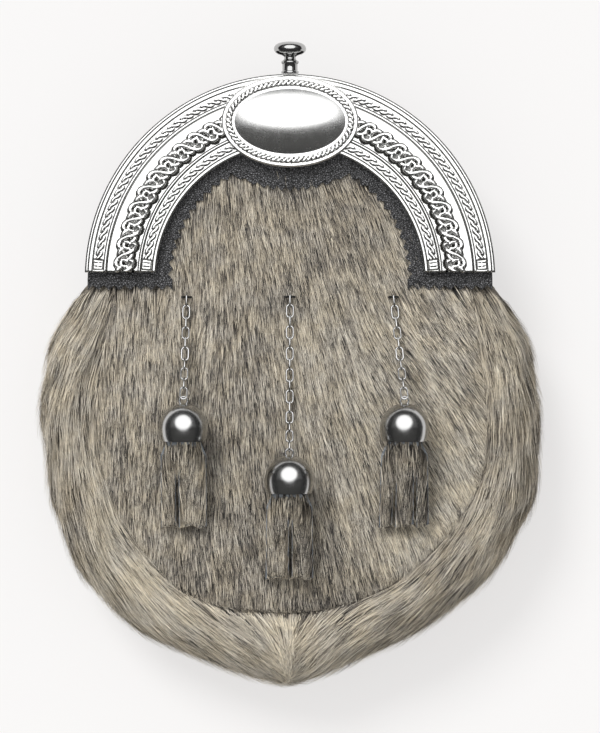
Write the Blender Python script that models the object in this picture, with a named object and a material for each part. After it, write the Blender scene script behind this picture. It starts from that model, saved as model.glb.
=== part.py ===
"""A dress sporran pouch, lying on its back.

Metres. +Z is up through the front of the pouch, +Y points to the finial, +X to the right of the
front. The origin is on the surface that the pouch lies on, under the middle of its outline.
"""

import math
from collections import namedtuple

import bmesh
import bpy
import numpy as np
from mathutils import Matrix, Vector

# Clearances between pieces
GAP = 0.0003
CHAIN_CLEAR = 0.0005

# Cantle: a cast half ring, measured from the ring's centre
CANTLE_OUTER_R = 0.0820
CANTLE_INNER_R = 0.0536
CANTLE_FOOT_LIFT = 0.0028
CANTLE_BASE = 0.0022
CANTLE_FLAT_RISE = 0.0007
CANTLE_RIB_RISE = 0.0011
KNOT_HALF_WIDTH = 0.0050
KNOT_STRAND = 0.0018
KNOT_RISE = 0.0010
KNOT_WEAVE = 0.0002
KNOT_PITCH = 0.0149

# Oval on the cantle, with its rope border and the polished boss
FLANGE_HALF_WIDTH = 0.0280
FLANGE_HALF_HEIGHT = 0.0185
FLANGE_INSET = 0.0005
FLANGE_FLOOR_RISE = 0.0002
FLANGE_RISE = 0.0009
ROPE_WIDTH = 0.0028
ROPE_RISE = 0.0010
BOSS_HALF_WIDTH = 0.0223
BOSS_HALF_HEIGHT = 0.0131
BOSS_RISE = 0.0050

# Finial
FINIAL_R = 0.0065
FINIAL_HEIGHT = 0.0127

# Leather yoke under the cantle
YOKE_THICKNESS = 0.0018
YOKE_INSET = 0.0010
YOKE_MARGIN = 0.0056
YOKE_BULGE = 0.0082
TAB_DROP = 0.0042
PINK_PITCH = 0.0044
PINK_DEPTH = 0.0020

# Body
BODY_HALF_WIDTH = 0.1002
BODY_DROP = 0.1626
RIM_WIDTH = 0.0200
HIDE = 0.0020
BACK_LIFT = 0.0058
HOLLOW_DEPTH = 0.0259
RIM_PROUD = 0.0043
RIM_LOCK_DEPTH = 0.0032
PELT_LOCK_DEPTH = 0.0018
PELT_OVERLAP = 0.0110
PELT_CROWN = 0.0045
PELT_CROWN_HALF_WIDTH = 0.0760
PELT_CROWN_HALF_HEIGHT = 0.1000
PILE = 0.0028
FUR_TUCK = 0.0100
FUR_RAMP = 0.0140

# Gussets
GUSSET_INSET = 0.0020
GUSSET_THICKNESS = 0.0020
GUSSET_TOP_DEGREES = 39.0

# Belt loops
LOOP_SPREAD = 0.0450
LOOP_RISE = 0.0400
LOOP_LENGTH = 0.0340
LOOP_WIDTH = 0.0140
LOOP_THICKNESS = 0.0018

# Chains
EYE_SPREAD = 0.0414
EYE_BELOW_TAB = 0.0028
EYE_R = 0.0019
EYE_WIRE = 0.0010
LINK_PITCH = 0.0044
LINK_WIDTH = 0.0038
LINK_WIRE = 0.00075
CHAIN_DROP = 0.0620
CHAIN_SLOPE = 0.60

# Bells
BELL_R = 0.0098
BELL_HEIGHT = 0.0148
BELL_WALL = 0.0010
BELL_LOOP_R = 0.0016
BELL_LOOP_WIRE = 0.0008
BELL_TILT_DEGREES = -3.0

# Tassels
TASSEL_LENGTH = 0.0350
TASSEL_TUCK = 0.0045
TASSEL_WIDTH = 0.0185
TASSEL_THICKNESS = 0.0056
TASSEL_HEAD_THICKNESS = 0.0136
TASSEL_SLIT = 0.0007
TASSEL_EDGE = 0.35

# Facets
LOCK_SPANS = 3
RIM_SPANS = 40
PELT_COLUMNS = 16
PELT_ROWS = 20
CANTLE_SPANS = 30
OVAL_SIDES = 20
WAVE_SPANS = 8
ROUND_SIDES = 12
LINK_SIDES = 10
WIRE_SIDES = 5

# Heights of the flat layers, from the floor up
BACK_TOP = BACK_LIFT + HIDE
FRONT_LOW = BACK_TOP + HOLLOW_DEPTH
FRONT_TOP = FRONT_LOW + HIDE
YOKE_LOW = FRONT_TOP + GAP
YOKE_TOP = YOKE_LOW + YOKE_THICKNESS
CANTLE_LOW = YOKE_TOP + GAP
CANTLE_FLOOR = CANTLE_LOW + CANTLE_BASE
FLANGE_FLOOR = CANTLE_FLOOR + CANTLE_RIB_RISE + FLANGE_FLOOR_RISE

# The ring's centre, set so that the outline's middle is the origin
RING_Y = (BODY_DROP - CANTLE_OUTER_R - GAP - FINIAL_HEIGHT) / 2
OVAL_Y = RING_Y + CANTLE_OUTER_R - FLANGE_INSET - FLANGE_HALF_HEIGHT
YOKE_OUTER_R = CANTLE_OUTER_R - YOKE_INSET
YOKE_ARCH_R = CANTLE_INNER_R - YOKE_MARGIN
TAB_Y = RING_Y - TAB_DROP
EYE_Y = TAB_Y - EYE_BELOW_TAB
GUSSET_R = CANTLE_OUTER_R - GUSSET_INSET
CANTLE_WIDTH = CANTLE_OUTER_R - CANTLE_INNER_R
CANTLE_FACE = CANTLE_FLOOR + CANTLE_FLAT_RISE

# The body's edge, from a foot of the cantle down to the tip.
# drop: share of BODY_DROP. foot and body: shares of CANTLE_OUTER_R and BODY_HALF_WIDTH that add up
# to the half width. in_x and in_y: the seam beside the front, in shares of RIM_WIDTH inward and
# upward. lean: share of BODY_HALF_WIDTH that the edge moves to the left on both sides.
BodyRow = namedtuple("BodyRow", "drop foot body in_x in_y lean")
BODY_ROWS = (
    BodyRow(0.000, 1.00, 0.000, 0.53, 0.00, 0.000),
    BodyRow(0.026, 0.70, 0.285, 0.69, 0.00, 0.000),
    BodyRow(0.094, 0.45, 0.540, 0.85, 0.00, 0.000),
    BodyRow(0.160, 0.20, 0.794, 1.00, -0.05, 0.000),
    BodyRow(0.236, 0.05, 0.943, 1.04, -0.05, 0.000),
    BodyRow(0.343, 0.00, 1.000, 1.02, 0.00, 0.000),
    BodyRow(0.442, 0.00, 0.985, 1.04, 0.10, -0.012),
    BodyRow(0.540, 0.00, 0.970, 1.12, 0.18, -0.014),
    BodyRow(0.626, 0.00, 0.914, 1.22, 0.24, 0.000),
    BodyRow(0.727, 0.00, 0.823, 1.33, 0.34, 0.014),
    BodyRow(0.817, 0.00, 0.679, 1.25, 0.50, 0.032),
    BodyRow(0.887, 0.00, 0.499, 1.05, 0.72, 0.046),
    BodyRow(0.948, 0.00, 0.284, 0.68, 1.08, 0.038),
)
BODY_TIP = BodyRow(1.000, 0.00, 0.000, 0.00, 1.46, 0.000)

# Section of the fur roll. inward: share of the way from the outline to the front seam.
# level: 0 floor, 1 and 2 the back panel's faces, 3 and 4 the front hide's faces, 5 the crest.
RollPoint = namedtuple("RollPoint", "inward level shaggy")
ROLL_POINTS = (
    RollPoint(1.00, 4.00, False),
    RollPoint(0.80, 4.84, True),
    RollPoint(0.52, 5.00, True),
    RollPoint(0.26, 4.35, True),
    RollPoint(0.07, 2.86, True),
    RollPoint(0.00, 2.50, True),
    RollPoint(0.07, 2.16, True),
    RollPoint(0.24, 0.80, True),
    RollPoint(0.47, 0.00, False),
    RollPoint(0.61, 0.40, False),
    RollPoint(0.66, 1.00, False),
    RollPoint(0.66, 2.00, False),
    RollPoint(0.45, 2.12, False),
    RollPoint(0.39, 2.50, False),
    RollPoint(0.47, 2.83, False),
    RollPoint(1.00, 3.00, False),
)
BACK_LIP_INWARD = 0.66
ROLL_CORE_INWARD = 0.45

# Section of the cantle. inset: share of the ring's width from its outer edge.
# level: 0 back, 1 floor beside a braided rib, 2 plain face, 3 top of a braided rib.
CantlePoint = namedtuple("CantlePoint", "inset level")
CANTLE_POINTS = (
    CantlePoint(0.000, 0),
    CantlePoint(0.000, 2),
    CantlePoint(0.106, 2),
    CantlePoint(0.123, 1),
    CantlePoint(0.183, 3),
    CantlePoint(0.243, 1),
    CantlePoint(0.261, 2),
    CantlePoint(0.782, 2),
    CantlePoint(0.799, 1),
    CantlePoint(0.859, 3),
    CantlePoint(0.919, 1),
    CantlePoint(0.937, 2),
    CantlePoint(1.000, 2),
    CantlePoint(1.000, 0),
)
KNOT_BAND_INSET = 0.546
KNOT_BAND_R = CANTLE_OUTER_R - KNOT_BAND_INSET * CANTLE_WIDTH

# Turned shapes. radius: share of the piece's radius. height: share of its height.
TurnPoint = namedtuple("TurnPoint", "radius height")
FINIAL_POINTS = (
    TurnPoint(0.00, 0.000),
    TurnPoint(0.53, 0.000),
    TurnPoint(0.53, 0.060),
    TurnPoint(0.47, 0.080),
    TurnPoint(0.47, 0.300),
    TurnPoint(0.53, 0.330),
    TurnPoint(0.53, 0.380),
    TurnPoint(0.37, 0.460),
    TurnPoint(0.48, 0.560),
    TurnPoint(0.86, 0.640),
    TurnPoint(1.00, 0.770),
    TurnPoint(0.90, 0.890),
    TurnPoint(0.55, 0.975),
    TurnPoint(0.00, 1.000),
)
BELL_POINTS = (
    TurnPoint(0.00, 1.000),
    TurnPoint(0.42, 0.945),
    TurnPoint(0.76, 0.740),
    TurnPoint(0.96, 0.360),
    TurnPoint(1.00, 0.000),
)
BELL_CROWN_WALLS = 2.0

# The three chains. side: shares of EYE_SPREAD. drop: shares of CHAIN_DROP, down the front.
# drift: how far the bell hangs to the right of its eye, in shares of BELL_R. slits: cuts in the
# tassel, as shares of its width. flare: how much wider the tassel's end is, as a share.
Chain = namedtuple("Chain", "name side drop drift slits flare")
CHAINS = (
    Chain("left", -1.0, 0.668, -0.08, (0.36,), 0.00),
    Chain("middle", 0.0, 1.000, -0.02, (0.52,), 0.05),
    Chain("right", 1.0, 0.668, 0.41, (0.30, 0.72), 0.10),
)

# colour, roughness, metallic
Finish = namedtuple("Finish", "colour roughness metallic")
FUR = Finish((0.31, 0.28, 0.23), 0.85, 0.0)
FUR_PALE = Finish((0.40, 0.36, 0.30), 0.85, 0.0)
HIDE_BACK = Finish((0.030, 0.028, 0.027), 0.65, 0.0)
LEATHER = Finish((0.014, 0.014, 0.015), 0.50, 0.0)
SILVER = Finish((0.78, 0.78, 0.77), 0.28, 1.0)
POLISHED = Finish((0.86, 0.86, 0.85), 0.06, 1.0)
DARK_STEEL = Finish((0.06, 0.06, 0.06), 0.40, 1.0)


def clear_scene():
    for old in list(bpy.data.objects):
        bpy.data.objects.remove(old, do_unlink=True)


def new_material(name, finish):
    material = bpy.data.materials.new(name)
    material.use_nodes = True
    shader = material.node_tree.nodes["Principled BSDF"]
    shader.inputs["Base Color"].default_value = (*finish.colour, 1.0)
    shader.inputs["Roughness"].default_value = finish.roughness
    shader.inputs["Metallic"].default_value = finish.metallic
    return material


def add_solid(name, vertices, faces, finish, smooth_degrees=40.0):
    """One closed mesh object with outward faces, its own material and shading by angle."""
    mesh = bpy.data.meshes.new(name)
    mesh.from_pydata([tuple(float(c) for c in point) for point in vertices], [], faces)
    work = bmesh.new()
    work.from_mesh(mesh)
    bmesh.ops.recalc_face_normals(work, faces=work.faces)
    work.to_mesh(mesh)
    work.free()
    mesh.shade_smooth()
    mesh.set_sharp_from_angle(angle=math.radians(smooth_degrees))
    mesh.materials.append(new_material(name, finish))
    solid = bpy.data.objects.new(name, mesh)
    bpy.context.scene.collection.objects.link(solid)
    return solid


def fuse(target, tool):
    """Joins a guide solid to the target, and leaves the guide out of the model."""
    tool.hide_render = True
    tool.display_type = "WIRE"
    union = target.modifiers.new(tool.name, "BOOLEAN")
    union.operation = "UNION"
    union.solver = "EXACT"
    union.object = tool


def loft(sections, closed):
    """Vertices and faces of a skin over equal sections, closed into a ring or capped."""
    count = len(sections[0])
    vertices = [point for section in sections for point in section]
    faces = []
    spans = len(sections) if closed else len(sections) - 1
    for span in range(spans):
        near = span * count
        far = (span + 1) % len(sections) * count
        for k in range(count):
            k_next = (k + 1) % count
            faces.append((near + k, near + k_next, far + k_next, far + k))
    if not closed:
        faces.append(tuple(range(count)))
        faces.append(tuple(range(len(vertices) - count, len(vertices))))
    return vertices, faces


def turn(profile, sides, place):
    """A turned solid from (radius, height) pairs that start and end on the axis."""
    vertices = []
    rings = []
    for radius, height in profile:
        steps = 1 if radius == 0 else sides
        rings.append([len(vertices) + k for k in range(steps)])
        for k in range(steps):
            angle = 2 * math.pi * k / sides
            spot = Vector((radius * math.cos(angle), radius * math.sin(angle), height))
            vertices.append(place @ spot)
    faces = []
    for lower, upper in zip(rings, rings[1:]):
        for k in range(sides):
            k_next = (k + 1) % sides
            corners = (
                lower[k % len(lower)],
                lower[k_next % len(lower)],
                upper[k_next % len(upper)],
                upper[k % len(upper)],
            )
            faces.append(tuple(dict.fromkeys(corners)))
    return vertices, faces


def sheet(x, y, low, high, missing=()):
    """A solid between two heights over a grid of plan points, without the missing cells."""
    rows, columns = x.shape
    size = rows * columns
    vertices = [*zip(x.flat, y.flat, low.flat), *zip(x.flat, y.flat, high.flat)]
    faces = []
    edges = {}
    for i in range(rows - 1):
        for j in range(columns - 1):
            if (i, j) in missing:
                continue
            corner = i * columns + j
            cell = (corner, corner + 1, corner + columns + 1, corner + columns)
            faces.append(tuple(reversed(cell)))
            faces.append(tuple(k + size for k in cell))
            for a, b in zip(cell, cell[1:] + cell[:1]):
                edges[frozenset((a, b))] = None if frozenset((a, b)) in edges else (a, b)
    for edge in edges.values():
        if edge:
            a, b = edge
            faces.append((a, b, b + size, a + size))
    used = sorted({k for face in faces for k in face})
    renumber = {old: new for new, old in enumerate(used)}
    return [vertices[k] for k in used], [tuple(renumber[k] for k in face) for face in faces]


def wire_ring(spots, normal, radius):
    """A closed round wire through spots that lie in the plane with that normal."""
    sections = []
    count = len(spots)
    for k, spot in enumerate(spots):
        ahead = (spots[(k + 1) % count] - spots[k - 1]).normalized()
        sections.append(wire_section(spot, ahead, normal, radius))
    return loft(sections, closed=True)


def wire_section(spot, ahead, normal, radius):
    across = ahead.cross(normal).normalized()
    section = []
    for k in range(WIRE_SIDES):
        angle = 2 * math.pi * k / WIRE_SIDES
        section.append(spot + radius * (math.cos(angle) * across + math.sin(angle) * normal))
    return section


def smooth_rows(rows, samples):
    """Catmull-Rom values at evenly spaced parameters through the rows of a table."""
    rows = np.asarray(rows, dtype=float)
    padded = np.vstack([2 * rows[0] - rows[1], rows, 2 * rows[-1] - rows[-2]])
    values = []
    for position in np.linspace(0, len(rows) - 1, samples):
        k = min(int(position), len(rows) - 2)
        t = position - k
        before, start, end, after = padded[k : k + 4]
        bend = 2 * before - 5 * start + 4 * end - after
        twist = 3 * (start - end) + after - before
        values.append(start + 0.5 * t * (end - before + t * (bend + t * twist)))
    return np.array(values)


def resample(line, samples):
    """Points evenly spaced along a polyline."""
    steps = np.hypot(*np.diff(line, axis=0).T)
    length = np.concatenate([[0.0], np.cumsum(steps)])
    wanted = np.linspace(0, length[-1], samples)
    return np.column_stack([np.interp(wanted, length, line[:, axis]) for axis in (0, 1)])


def inset(line, distance):
    """The polyline moved to its left, seen along its direction."""
    ahead = np.gradient(line, axis=0)
    ahead /= np.hypot(*ahead.T)[:, None]
    return line + distance * np.column_stack([-ahead[:, 1], ahead[:, 0]])


def smoothstep(share):
    share = np.clip(share, 0.0, 1.0)
    return share * share * (3 - 2 * share)


def ring_points(radius, angles):
    return np.column_stack([radius * np.cos(angles), RING_Y + radius * np.sin(angles)])


def body_edge():
    """Outline and front seam of the fur roll, from the left foot round the tip to the right foot."""
    def edge_row(row, side):
        half = row.foot * CANTLE_OUTER_R + row.body * BODY_HALF_WIDTH
        x = side * half - row.lean * BODY_HALF_WIDTH
        y = RING_Y - row.drop * BODY_DROP
        return (x, y, x - side * row.in_x * RIM_WIDTH, y + row.in_y * RIM_WIDTH)

    left = [edge_row(row, -1) for row in BODY_ROWS]
    right = [edge_row(row, 1) for row in reversed(BODY_ROWS)]
    path = smooth_rows(left + [edge_row(BODY_TIP, 1)] + right, RIM_SPANS + 1)
    path[0, 1] = path[-1, 1] = path[0, 3] = path[-1, 3] = RING_Y
    return path[:, :2], path[:, 2:]


def yoke_edge_radius(angle):
    """Radius of the leather's lower edge: the arch, or the bulge that goes round the oval."""
    reach_x = FLANGE_HALF_WIDTH + YOKE_BULGE
    reach_y = FLANGE_HALF_HEIGHT + YOKE_BULGE
    rise = OVAL_Y - RING_Y
    a = (np.cos(angle) / reach_x) ** 2 + (np.sin(angle) / reach_y) ** 2
    b = np.sin(angle) * rise / reach_y**2
    c = (rise / reach_y) ** 2 - 1
    root = b * b - a * c
    near = np.where(root > 0, (b - np.sqrt(np.maximum(root, 0))) / a, YOKE_ARCH_R)
    return np.minimum(near, YOKE_ARCH_R)


def exposed(x, y):
    """0 under the leather and just beside it, 1 where the fur stands free."""
    up = np.maximum(y - RING_Y, 0)
    arch = yoke_edge_radius(np.arctan2(up, x)) - PINK_DEPTH / 2 - np.hypot(x, up)
    clear = np.maximum(arch, TAB_Y - y)
    return smoothstep((clear - FUR_TUCK) / FUR_RAMP)


def crown(x, y):
    """How far the front stands up in a dome."""
    x_share = x / PELT_CROWN_HALF_WIDTH
    y_share = (y + PELT_CROWN_HALF_HEIGHT / 5) / PELT_CROWN_HALF_HEIGHT
    dome = np.maximum(1 - x_share**2 - y_share**2, 0)
    return PELT_CROWN * dome * exposed(x, y)


def fur_top(x, y):
    """Height of the tips of the front's fur."""
    return FRONT_TOP + crown(x, y) + PILE * exposed(x, y)


def lock_rise(row, column):
    """0 at the root of a lock of fur and 1 at its tip, with neighbours staggered."""
    along = (row + column % 2 * LOCK_SPANS / 2) % LOCK_SPANS
    return np.minimum(along / (LOCK_SPANS - 1), 1.0)


def make_fur_rim():
    outline, seam = body_edge()
    middle = RIM_SPANS // 2
    sections = []
    for i, (outer, inner) in enumerate(zip(outline, seam)):
        rise = exposed(inner[0], outer[1])
        levels = (0.0, BACK_LIFT, BACK_TOP, FRONT_LOW, FRONT_TOP, FRONT_TOP + RIM_PROUD * rise)
        core_xy = outer + ROLL_CORE_INWARD * (inner - outer)
        core = np.array([*core_xy, (BACK_TOP + FRONT_LOW) / 2])
        steps_down = LOCK_SPANS - 1 - abs(i - middle)
        section = []
        for j, roll in enumerate(ROLL_POINTS):
            plan = outer + roll.inward * (inner - outer)
            spot = np.array([*plan, np.interp(roll.level, range(6), levels)])
            if roll.shaggy:
                valley = RIM_LOCK_DEPTH * (1 - lock_rise(steps_down, j + 1))
                spot = spot + (core - spot) * valley / np.linalg.norm(core - spot)
            section.append(spot)
        sections.append(section)
    add_solid("fur_rim", *loft(sections, closed=False), FUR_PALE)


def pelt_edges():
    """The four sides of the front pelt: top, bottom, left and right, each from left or top."""
    seam = inset(body_edge()[1], GAP)
    corner = RIM_SPANS * 2 // 5
    reach_x = seam[-1, 0]
    reach_y = YOKE_ARCH_R + PELT_OVERLAP
    angles = np.radians(np.linspace(180, 0, 49))
    arch = np.column_stack([reach_x * np.cos(angles), RING_Y + reach_y * np.sin(angles)])
    top = resample(arch[16:33], PELT_COLUMNS + 1)
    bottom = resample(seam[corner : RIM_SPANS + 1 - corner], PELT_COLUMNS + 1)
    left = resample(np.vstack([arch[16:0:-1], seam[: corner + 1]]), PELT_ROWS + 1)
    right = resample(np.vstack([arch[32:48], seam[RIM_SPANS - corner :][::-1]]), PELT_ROWS + 1)
    return top, bottom, left, right


def pelt_plan():
    """Plan points of the front pelt, blended from its four sides."""
    top, bottom, left, right = pelt_edges()
    s = np.linspace(0, 1, PELT_COLUMNS + 1)[None, :, None]
    t = np.linspace(0, 1, PELT_ROWS + 1)[:, None, None]
    across = (1 - s) * left[:, None] + s * right[:, None]
    down = (1 - t) * top[None] + t * bottom[None]
    corners = (1 - s) * (1 - t) * top[0] + s * (1 - t) * top[-1]
    corners = corners + (1 - s) * t * bottom[0] + s * t * bottom[-1]
    plan = across + down - corners
    return plan[..., 0], plan[..., 1]


def make_front_pelt():
    x, y = pelt_plan()
    low = FRONT_LOW + crown(x, y)
    rows, columns = np.indices(x.shape)
    side = np.minimum(columns, PELT_COLUMNS - columns)
    fade = np.clip(np.minimum(side, PELT_ROWS - rows) / 2, 0.15, 1.0)
    fur = fade * (PILE - PELT_LOCK_DEPTH * (1 - lock_rise(rows, columns))) * exposed(x, y)
    high = FRONT_TOP + crown(x, y) + fur
    add_solid("front_pelt", *sheet(x, y, low, high), FUR)


def make_back_panel():
    outline, seam = body_edge()
    lip = inset(outline + BACK_LIP_INWARD * (seam - outline), GAP)
    lip = lip[lip[:, 1] <= RING_Y]
    corners = [[(lip[k, 0], RING_Y + GAP)] for k in (0, -1)]
    start = 2 * GAP / GUSSET_R
    arch = ring_points(GUSSET_R, np.linspace(start, math.pi - start, 21))
    plan = np.vstack([corners[0], lip, corners[1], arch])
    sections = [[(*spot, height) for spot in plan] for height in (BACK_LIFT, BACK_TOP)]
    add_solid("back_panel", *loft(sections, closed=False), HIDE_BACK)


def make_gussets():
    start = 2 * GAP / GUSSET_R
    spread = np.linspace(start, math.radians(GUSSET_TOP_DEGREES), 8)
    for name, angles in (("gusset_right", spread), ("gusset_left", math.pi - spread)):
        walls = [ring_points(r, angles) for r in (GUSSET_R, GUSSET_R - GUSSET_THICKNESS)]
        x = np.column_stack([wall[:, 0] for wall in walls])
        y = np.column_stack([wall[:, 1] for wall in walls])
        low = np.full_like(x, BACK_TOP + GAP)
        high = np.full_like(x, YOKE_LOW - GAP)
        add_solid(name, *sheet(x, y, low, high), LEATHER)


def pinked(start, end):
    """Points of a pinked edge from start to end, seen with the leather on its right."""
    ahead = end - start
    length = float(np.hypot(*ahead))
    ahead = ahead / length
    teeth = max(2, round(length / PINK_PITCH))
    shares = np.arange(1, 2 * teeth) / (2 * teeth)
    proud = np.where(np.arange(1, 2 * teeth) % 2, PINK_DEPTH, 0.0)
    along = start + np.outer(shares * length, ahead)
    return along + np.outer(proud, (-ahead[1], ahead[0]))


def make_yoke():
    """One leather sheet: a plain outer arc, and pinked along the arch and below both feet."""
    teeth = max(8, round(math.pi * YOKE_ARCH_R / PINK_PITCH))
    angles = np.linspace(math.pi, 0, 2 * teeth + 1)
    tooth = PINK_DEPTH * np.where(np.arange(2 * teeth + 1) % 2, 0.5, -0.5)
    radii = [float(yoke_edge_radius(angle)) for angle in angles] + tooth
    arch = np.column_stack([radii * np.cos(angles), RING_Y + radii * np.sin(angles)])
    outer = ring_points(YOKE_OUTER_R, np.linspace(0, math.pi, 37))
    tab_out = np.array([YOKE_OUTER_R, TAB_Y])
    tab_in = np.array([arch[-1, 0], TAB_Y])
    mirror = np.array([-1, 1])
    right = np.vstack([[tab_in], pinked(tab_in, tab_out), [tab_out]])
    left = (right * mirror)[::-1]
    plan = np.vstack([left, arch, right, outer])
    sections = [[(*spot, height) for spot in plan] for height in (YOKE_TOP, YOKE_LOW)]
    add_solid("leather_yoke", *loft(sections, closed=False), LEATHER)


def cantle_sections():
    """The cantle's section at each angle, with both feet cut level."""
    levels = (CANTLE_LOW, CANTLE_FLOOR, CANTLE_FACE, CANTLE_FLOOR + CANTLE_RIB_RISE)
    sections = []
    for k in range(CANTLE_SPANS + 1):
        section = []
        for point in CANTLE_POINTS:
            radius = CANTLE_OUTER_R - point.inset * CANTLE_WIDTH
            foot = math.asin(CANTLE_FOOT_LIFT / radius)
            angle = foot + (math.pi - 2 * foot) * k / CANTLE_SPANS
            spot = (radius * math.cos(angle), RING_Y + radius * math.sin(angle))
            section.append((*spot, levels[point.level]))
        sections.append(section)
    return sections


def knot_strand(name, swing, rise):
    """One strand of the knot band on both sides of the oval, as a guide solid."""
    start = math.asin((CANTLE_FOOT_LIFT + KNOT_STRAND) / KNOT_BAND_R)
    end = math.acos((FLANGE_HALF_WIDTH - KNOT_STRAND) / KNOT_BAND_R)
    waves = max(1, round((end - start) * KNOT_BAND_R / KNOT_PITCH * 2)) / 2
    spans = math.ceil(waves * WAVE_SPANS)
    shares = np.linspace(0, 1, spans + 1)
    swing_r = swing * (KNOT_HALF_WIDTH - KNOT_STRAND / 2)
    radii = KNOT_BAND_R + swing_r * np.sin(2 * math.pi * waves * shares)
    low = CANTLE_FLOOR - CANTLE_BASE / 4
    high = CANTLE_FACE + rise
    vertices = []
    faces = []
    for side in (1, -1):
        angles = math.pi / 2 - side * (math.pi / 2 - start - (end - start) * shares)
        line = np.column_stack([radii * np.cos(angles), RING_Y + radii * np.sin(angles)])
        edges = [inset(line, offset) for offset in (KNOT_STRAND / 2, -KNOT_STRAND / 2)]
        x = np.column_stack([edge[:, 0] for edge in edges])
        y = np.column_stack([edge[:, 1] for edge in edges])
        points, cells = sheet(x, y, np.full_like(x, low), np.full_like(x, high))
        faces += [tuple(k + len(vertices) for k in cell) for cell in cells]
        vertices += points
    return add_solid(name, vertices, faces, SILVER)


def oval_ring(inward, height):
    """Points of an ellipse that lies inward of the flange's edge."""
    angles = (np.arange(OVAL_SIDES) + 0.5) * 2 * math.pi / OVAL_SIDES
    x = (FLANGE_HALF_WIDTH - inward) * np.cos(angles)
    y = OVAL_Y + (FLANGE_HALF_HEIGHT - inward) * np.sin(angles)
    return [(px, py, height) for px, py in zip(x, y)]


def make_cantle():
    cantle = add_solid("cantle", *loft(cantle_sections(), closed=False), SILVER)
    rim = FLANGE_HALF_WIDTH - BOSS_HALF_WIDTH - ROPE_WIDTH
    edge = FLANGE_FLOOR + FLANGE_RISE
    rope = edge + ROPE_RISE
    sections = (
        oval_ring(0, CANTLE_LOW + CANTLE_BASE / 10),
        oval_ring(0, edge),
        oval_ring(rim / 2, edge),
        oval_ring(rim / 2 + ROPE_WIDTH / 4, rope),
        oval_ring(rim / 2 + ROPE_WIDTH * 3 / 4, rope),
        oval_ring(rim / 2 + ROPE_WIDTH, FLANGE_FLOOR),
    )
    fuse(cantle, knot_strand("knot_over", 1, KNOT_RISE + KNOT_WEAVE))
    fuse(cantle, knot_strand("knot_under", -1, KNOT_RISE))
    fuse(cantle, add_solid("oval_flange", *loft(sections, closed=False), SILVER))


def make_boss():
    heights = ((0.0, 0.0), (1.0, 0.0), (1.0, 0.16), (0.90, 0.50), (0.66, 0.80), (0.34, 0.95), (0.0, 1.0))
    base = FLANGE_FLOOR + GAP
    place = Matrix.Translation((0, OVAL_Y, base)) @ Matrix.Diagonal(
        (BOSS_HALF_WIDTH, BOSS_HALF_HEIGHT, BOSS_RISE, 1.0)
    )
    add_solid("oval_boss", *turn(heights, OVAL_SIDES, place), POLISHED)


def make_finial():
    profile = [(point.radius * FINIAL_R, point.height * FINIAL_HEIGHT) for point in FINIAL_POINTS]
    middle = (CANTLE_LOW + CANTLE_FACE) / 2
    place = Matrix.Translation((0, RING_Y + CANTLE_OUTER_R + GAP, middle))
    place = place @ Matrix.Rotation(-math.pi / 2, 4, "X")
    add_solid("finial", *turn(profile, ROUND_SIDES, place), SILVER)


def make_belt_loops():
    """Plain straps under the back, flat at both ends and standing off in the middle."""
    along = np.array([-0.50, -0.32, -0.22, 0.22, 0.32, 0.50]) * LOOP_LENGTH
    top = BACK_LIFT - GAP
    heights = np.array([top, top, LOOP_THICKNESS, LOOP_THICKNESS, top, top])
    for name, side in (("belt_loop_left", -1), ("belt_loop_right", 1)):
        middle = side * LOOP_SPREAD
        edges = np.array([middle - LOOP_WIDTH / 2, middle + LOOP_WIDTH / 2])
        x, y = np.meshgrid(edges, RING_Y + LOOP_RISE + along)
        high = np.repeat(heights[:, None], 2, axis=1)
        add_solid(name, *sheet(x, y, high - LOOP_THICKNESS, high), LEATHER)


def eye_spot(chain):
    return Vector((chain.side * EYE_SPREAD, EYE_Y, 0))


def chain_start_height(chain):
    eye = eye_spot(chain)
    return float(fur_top(eye.x, eye.y)) + LINK_WIDTH / 2 + CHAIN_CLEAR


def make_eye(chain):
    """A staple whose feet stand on the hide, with the first link round its bow."""
    eye = eye_spot(chain)
    foot = float(fur_top(eye.x, eye.y)) + GAP
    bow = chain_start_height(chain) + EYE_WIRE / 4 - EYE_R
    spots = [Vector((eye.x + EYE_R, eye.y, foot))]
    for k in range(7):
        angle = math.pi * k / 6
        spots.append(Vector((eye.x + EYE_R * math.cos(angle), eye.y, bow + EYE_R * math.sin(angle))))
    spots.append(Vector((eye.x - EYE_R, eye.y, foot)))
    if bow - foot < EYE_WIRE / 2:
        spots = spots[1:-1]
        spots[0].z = spots[-1].z = foot
    sections = []
    for k, spot in enumerate(spots):
        ahead = spots[min(k + 1, len(spots) - 1)] - spots[max(k - 1, 0)]
        if k in (0, len(spots) - 1):
            ahead = Vector((0, 0, 1 if k == 0 else -1))
        sections.append(wire_section(spot, ahead.normalized(), Vector((0, 1, 0)), EYE_WIRE / 2))
    add_solid(f"chain_eye_{chain.name}", *loft(sections, closed=False), DARK_STEEL)


def bell_axis():
    """Direction from a bell's mouth to its crown, raised a little at the crown."""
    tilt = math.radians(BELL_TILT_DEGREES)
    return Vector((0, math.cos(tilt), -math.sin(tilt)))


def bell_crown(chain):
    """Place of the bell's loop, where the bell's lowest side just clears the fur."""
    axis = bell_axis()
    x = chain.side * EYE_SPREAD + chain.drift * BELL_R
    y = EYE_Y - chain.drop * CHAIN_DROP
    reach = BELL_HEIGHT + BELL_LOOP_R
    y_line = np.linspace(y - reach, y, 9)[:, None]
    x_line = x + np.linspace(-BELL_R, BELL_R, 9)[None, :] / 2
    highest = float(np.max(fur_top(x_line + 0 * y_line, y_line + 0 * x_line)))
    mouth_z = highest + BELL_R + 2 * CHAIN_CLEAR
    return Vector((x, y, mouth_z + axis.z * reach))


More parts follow.
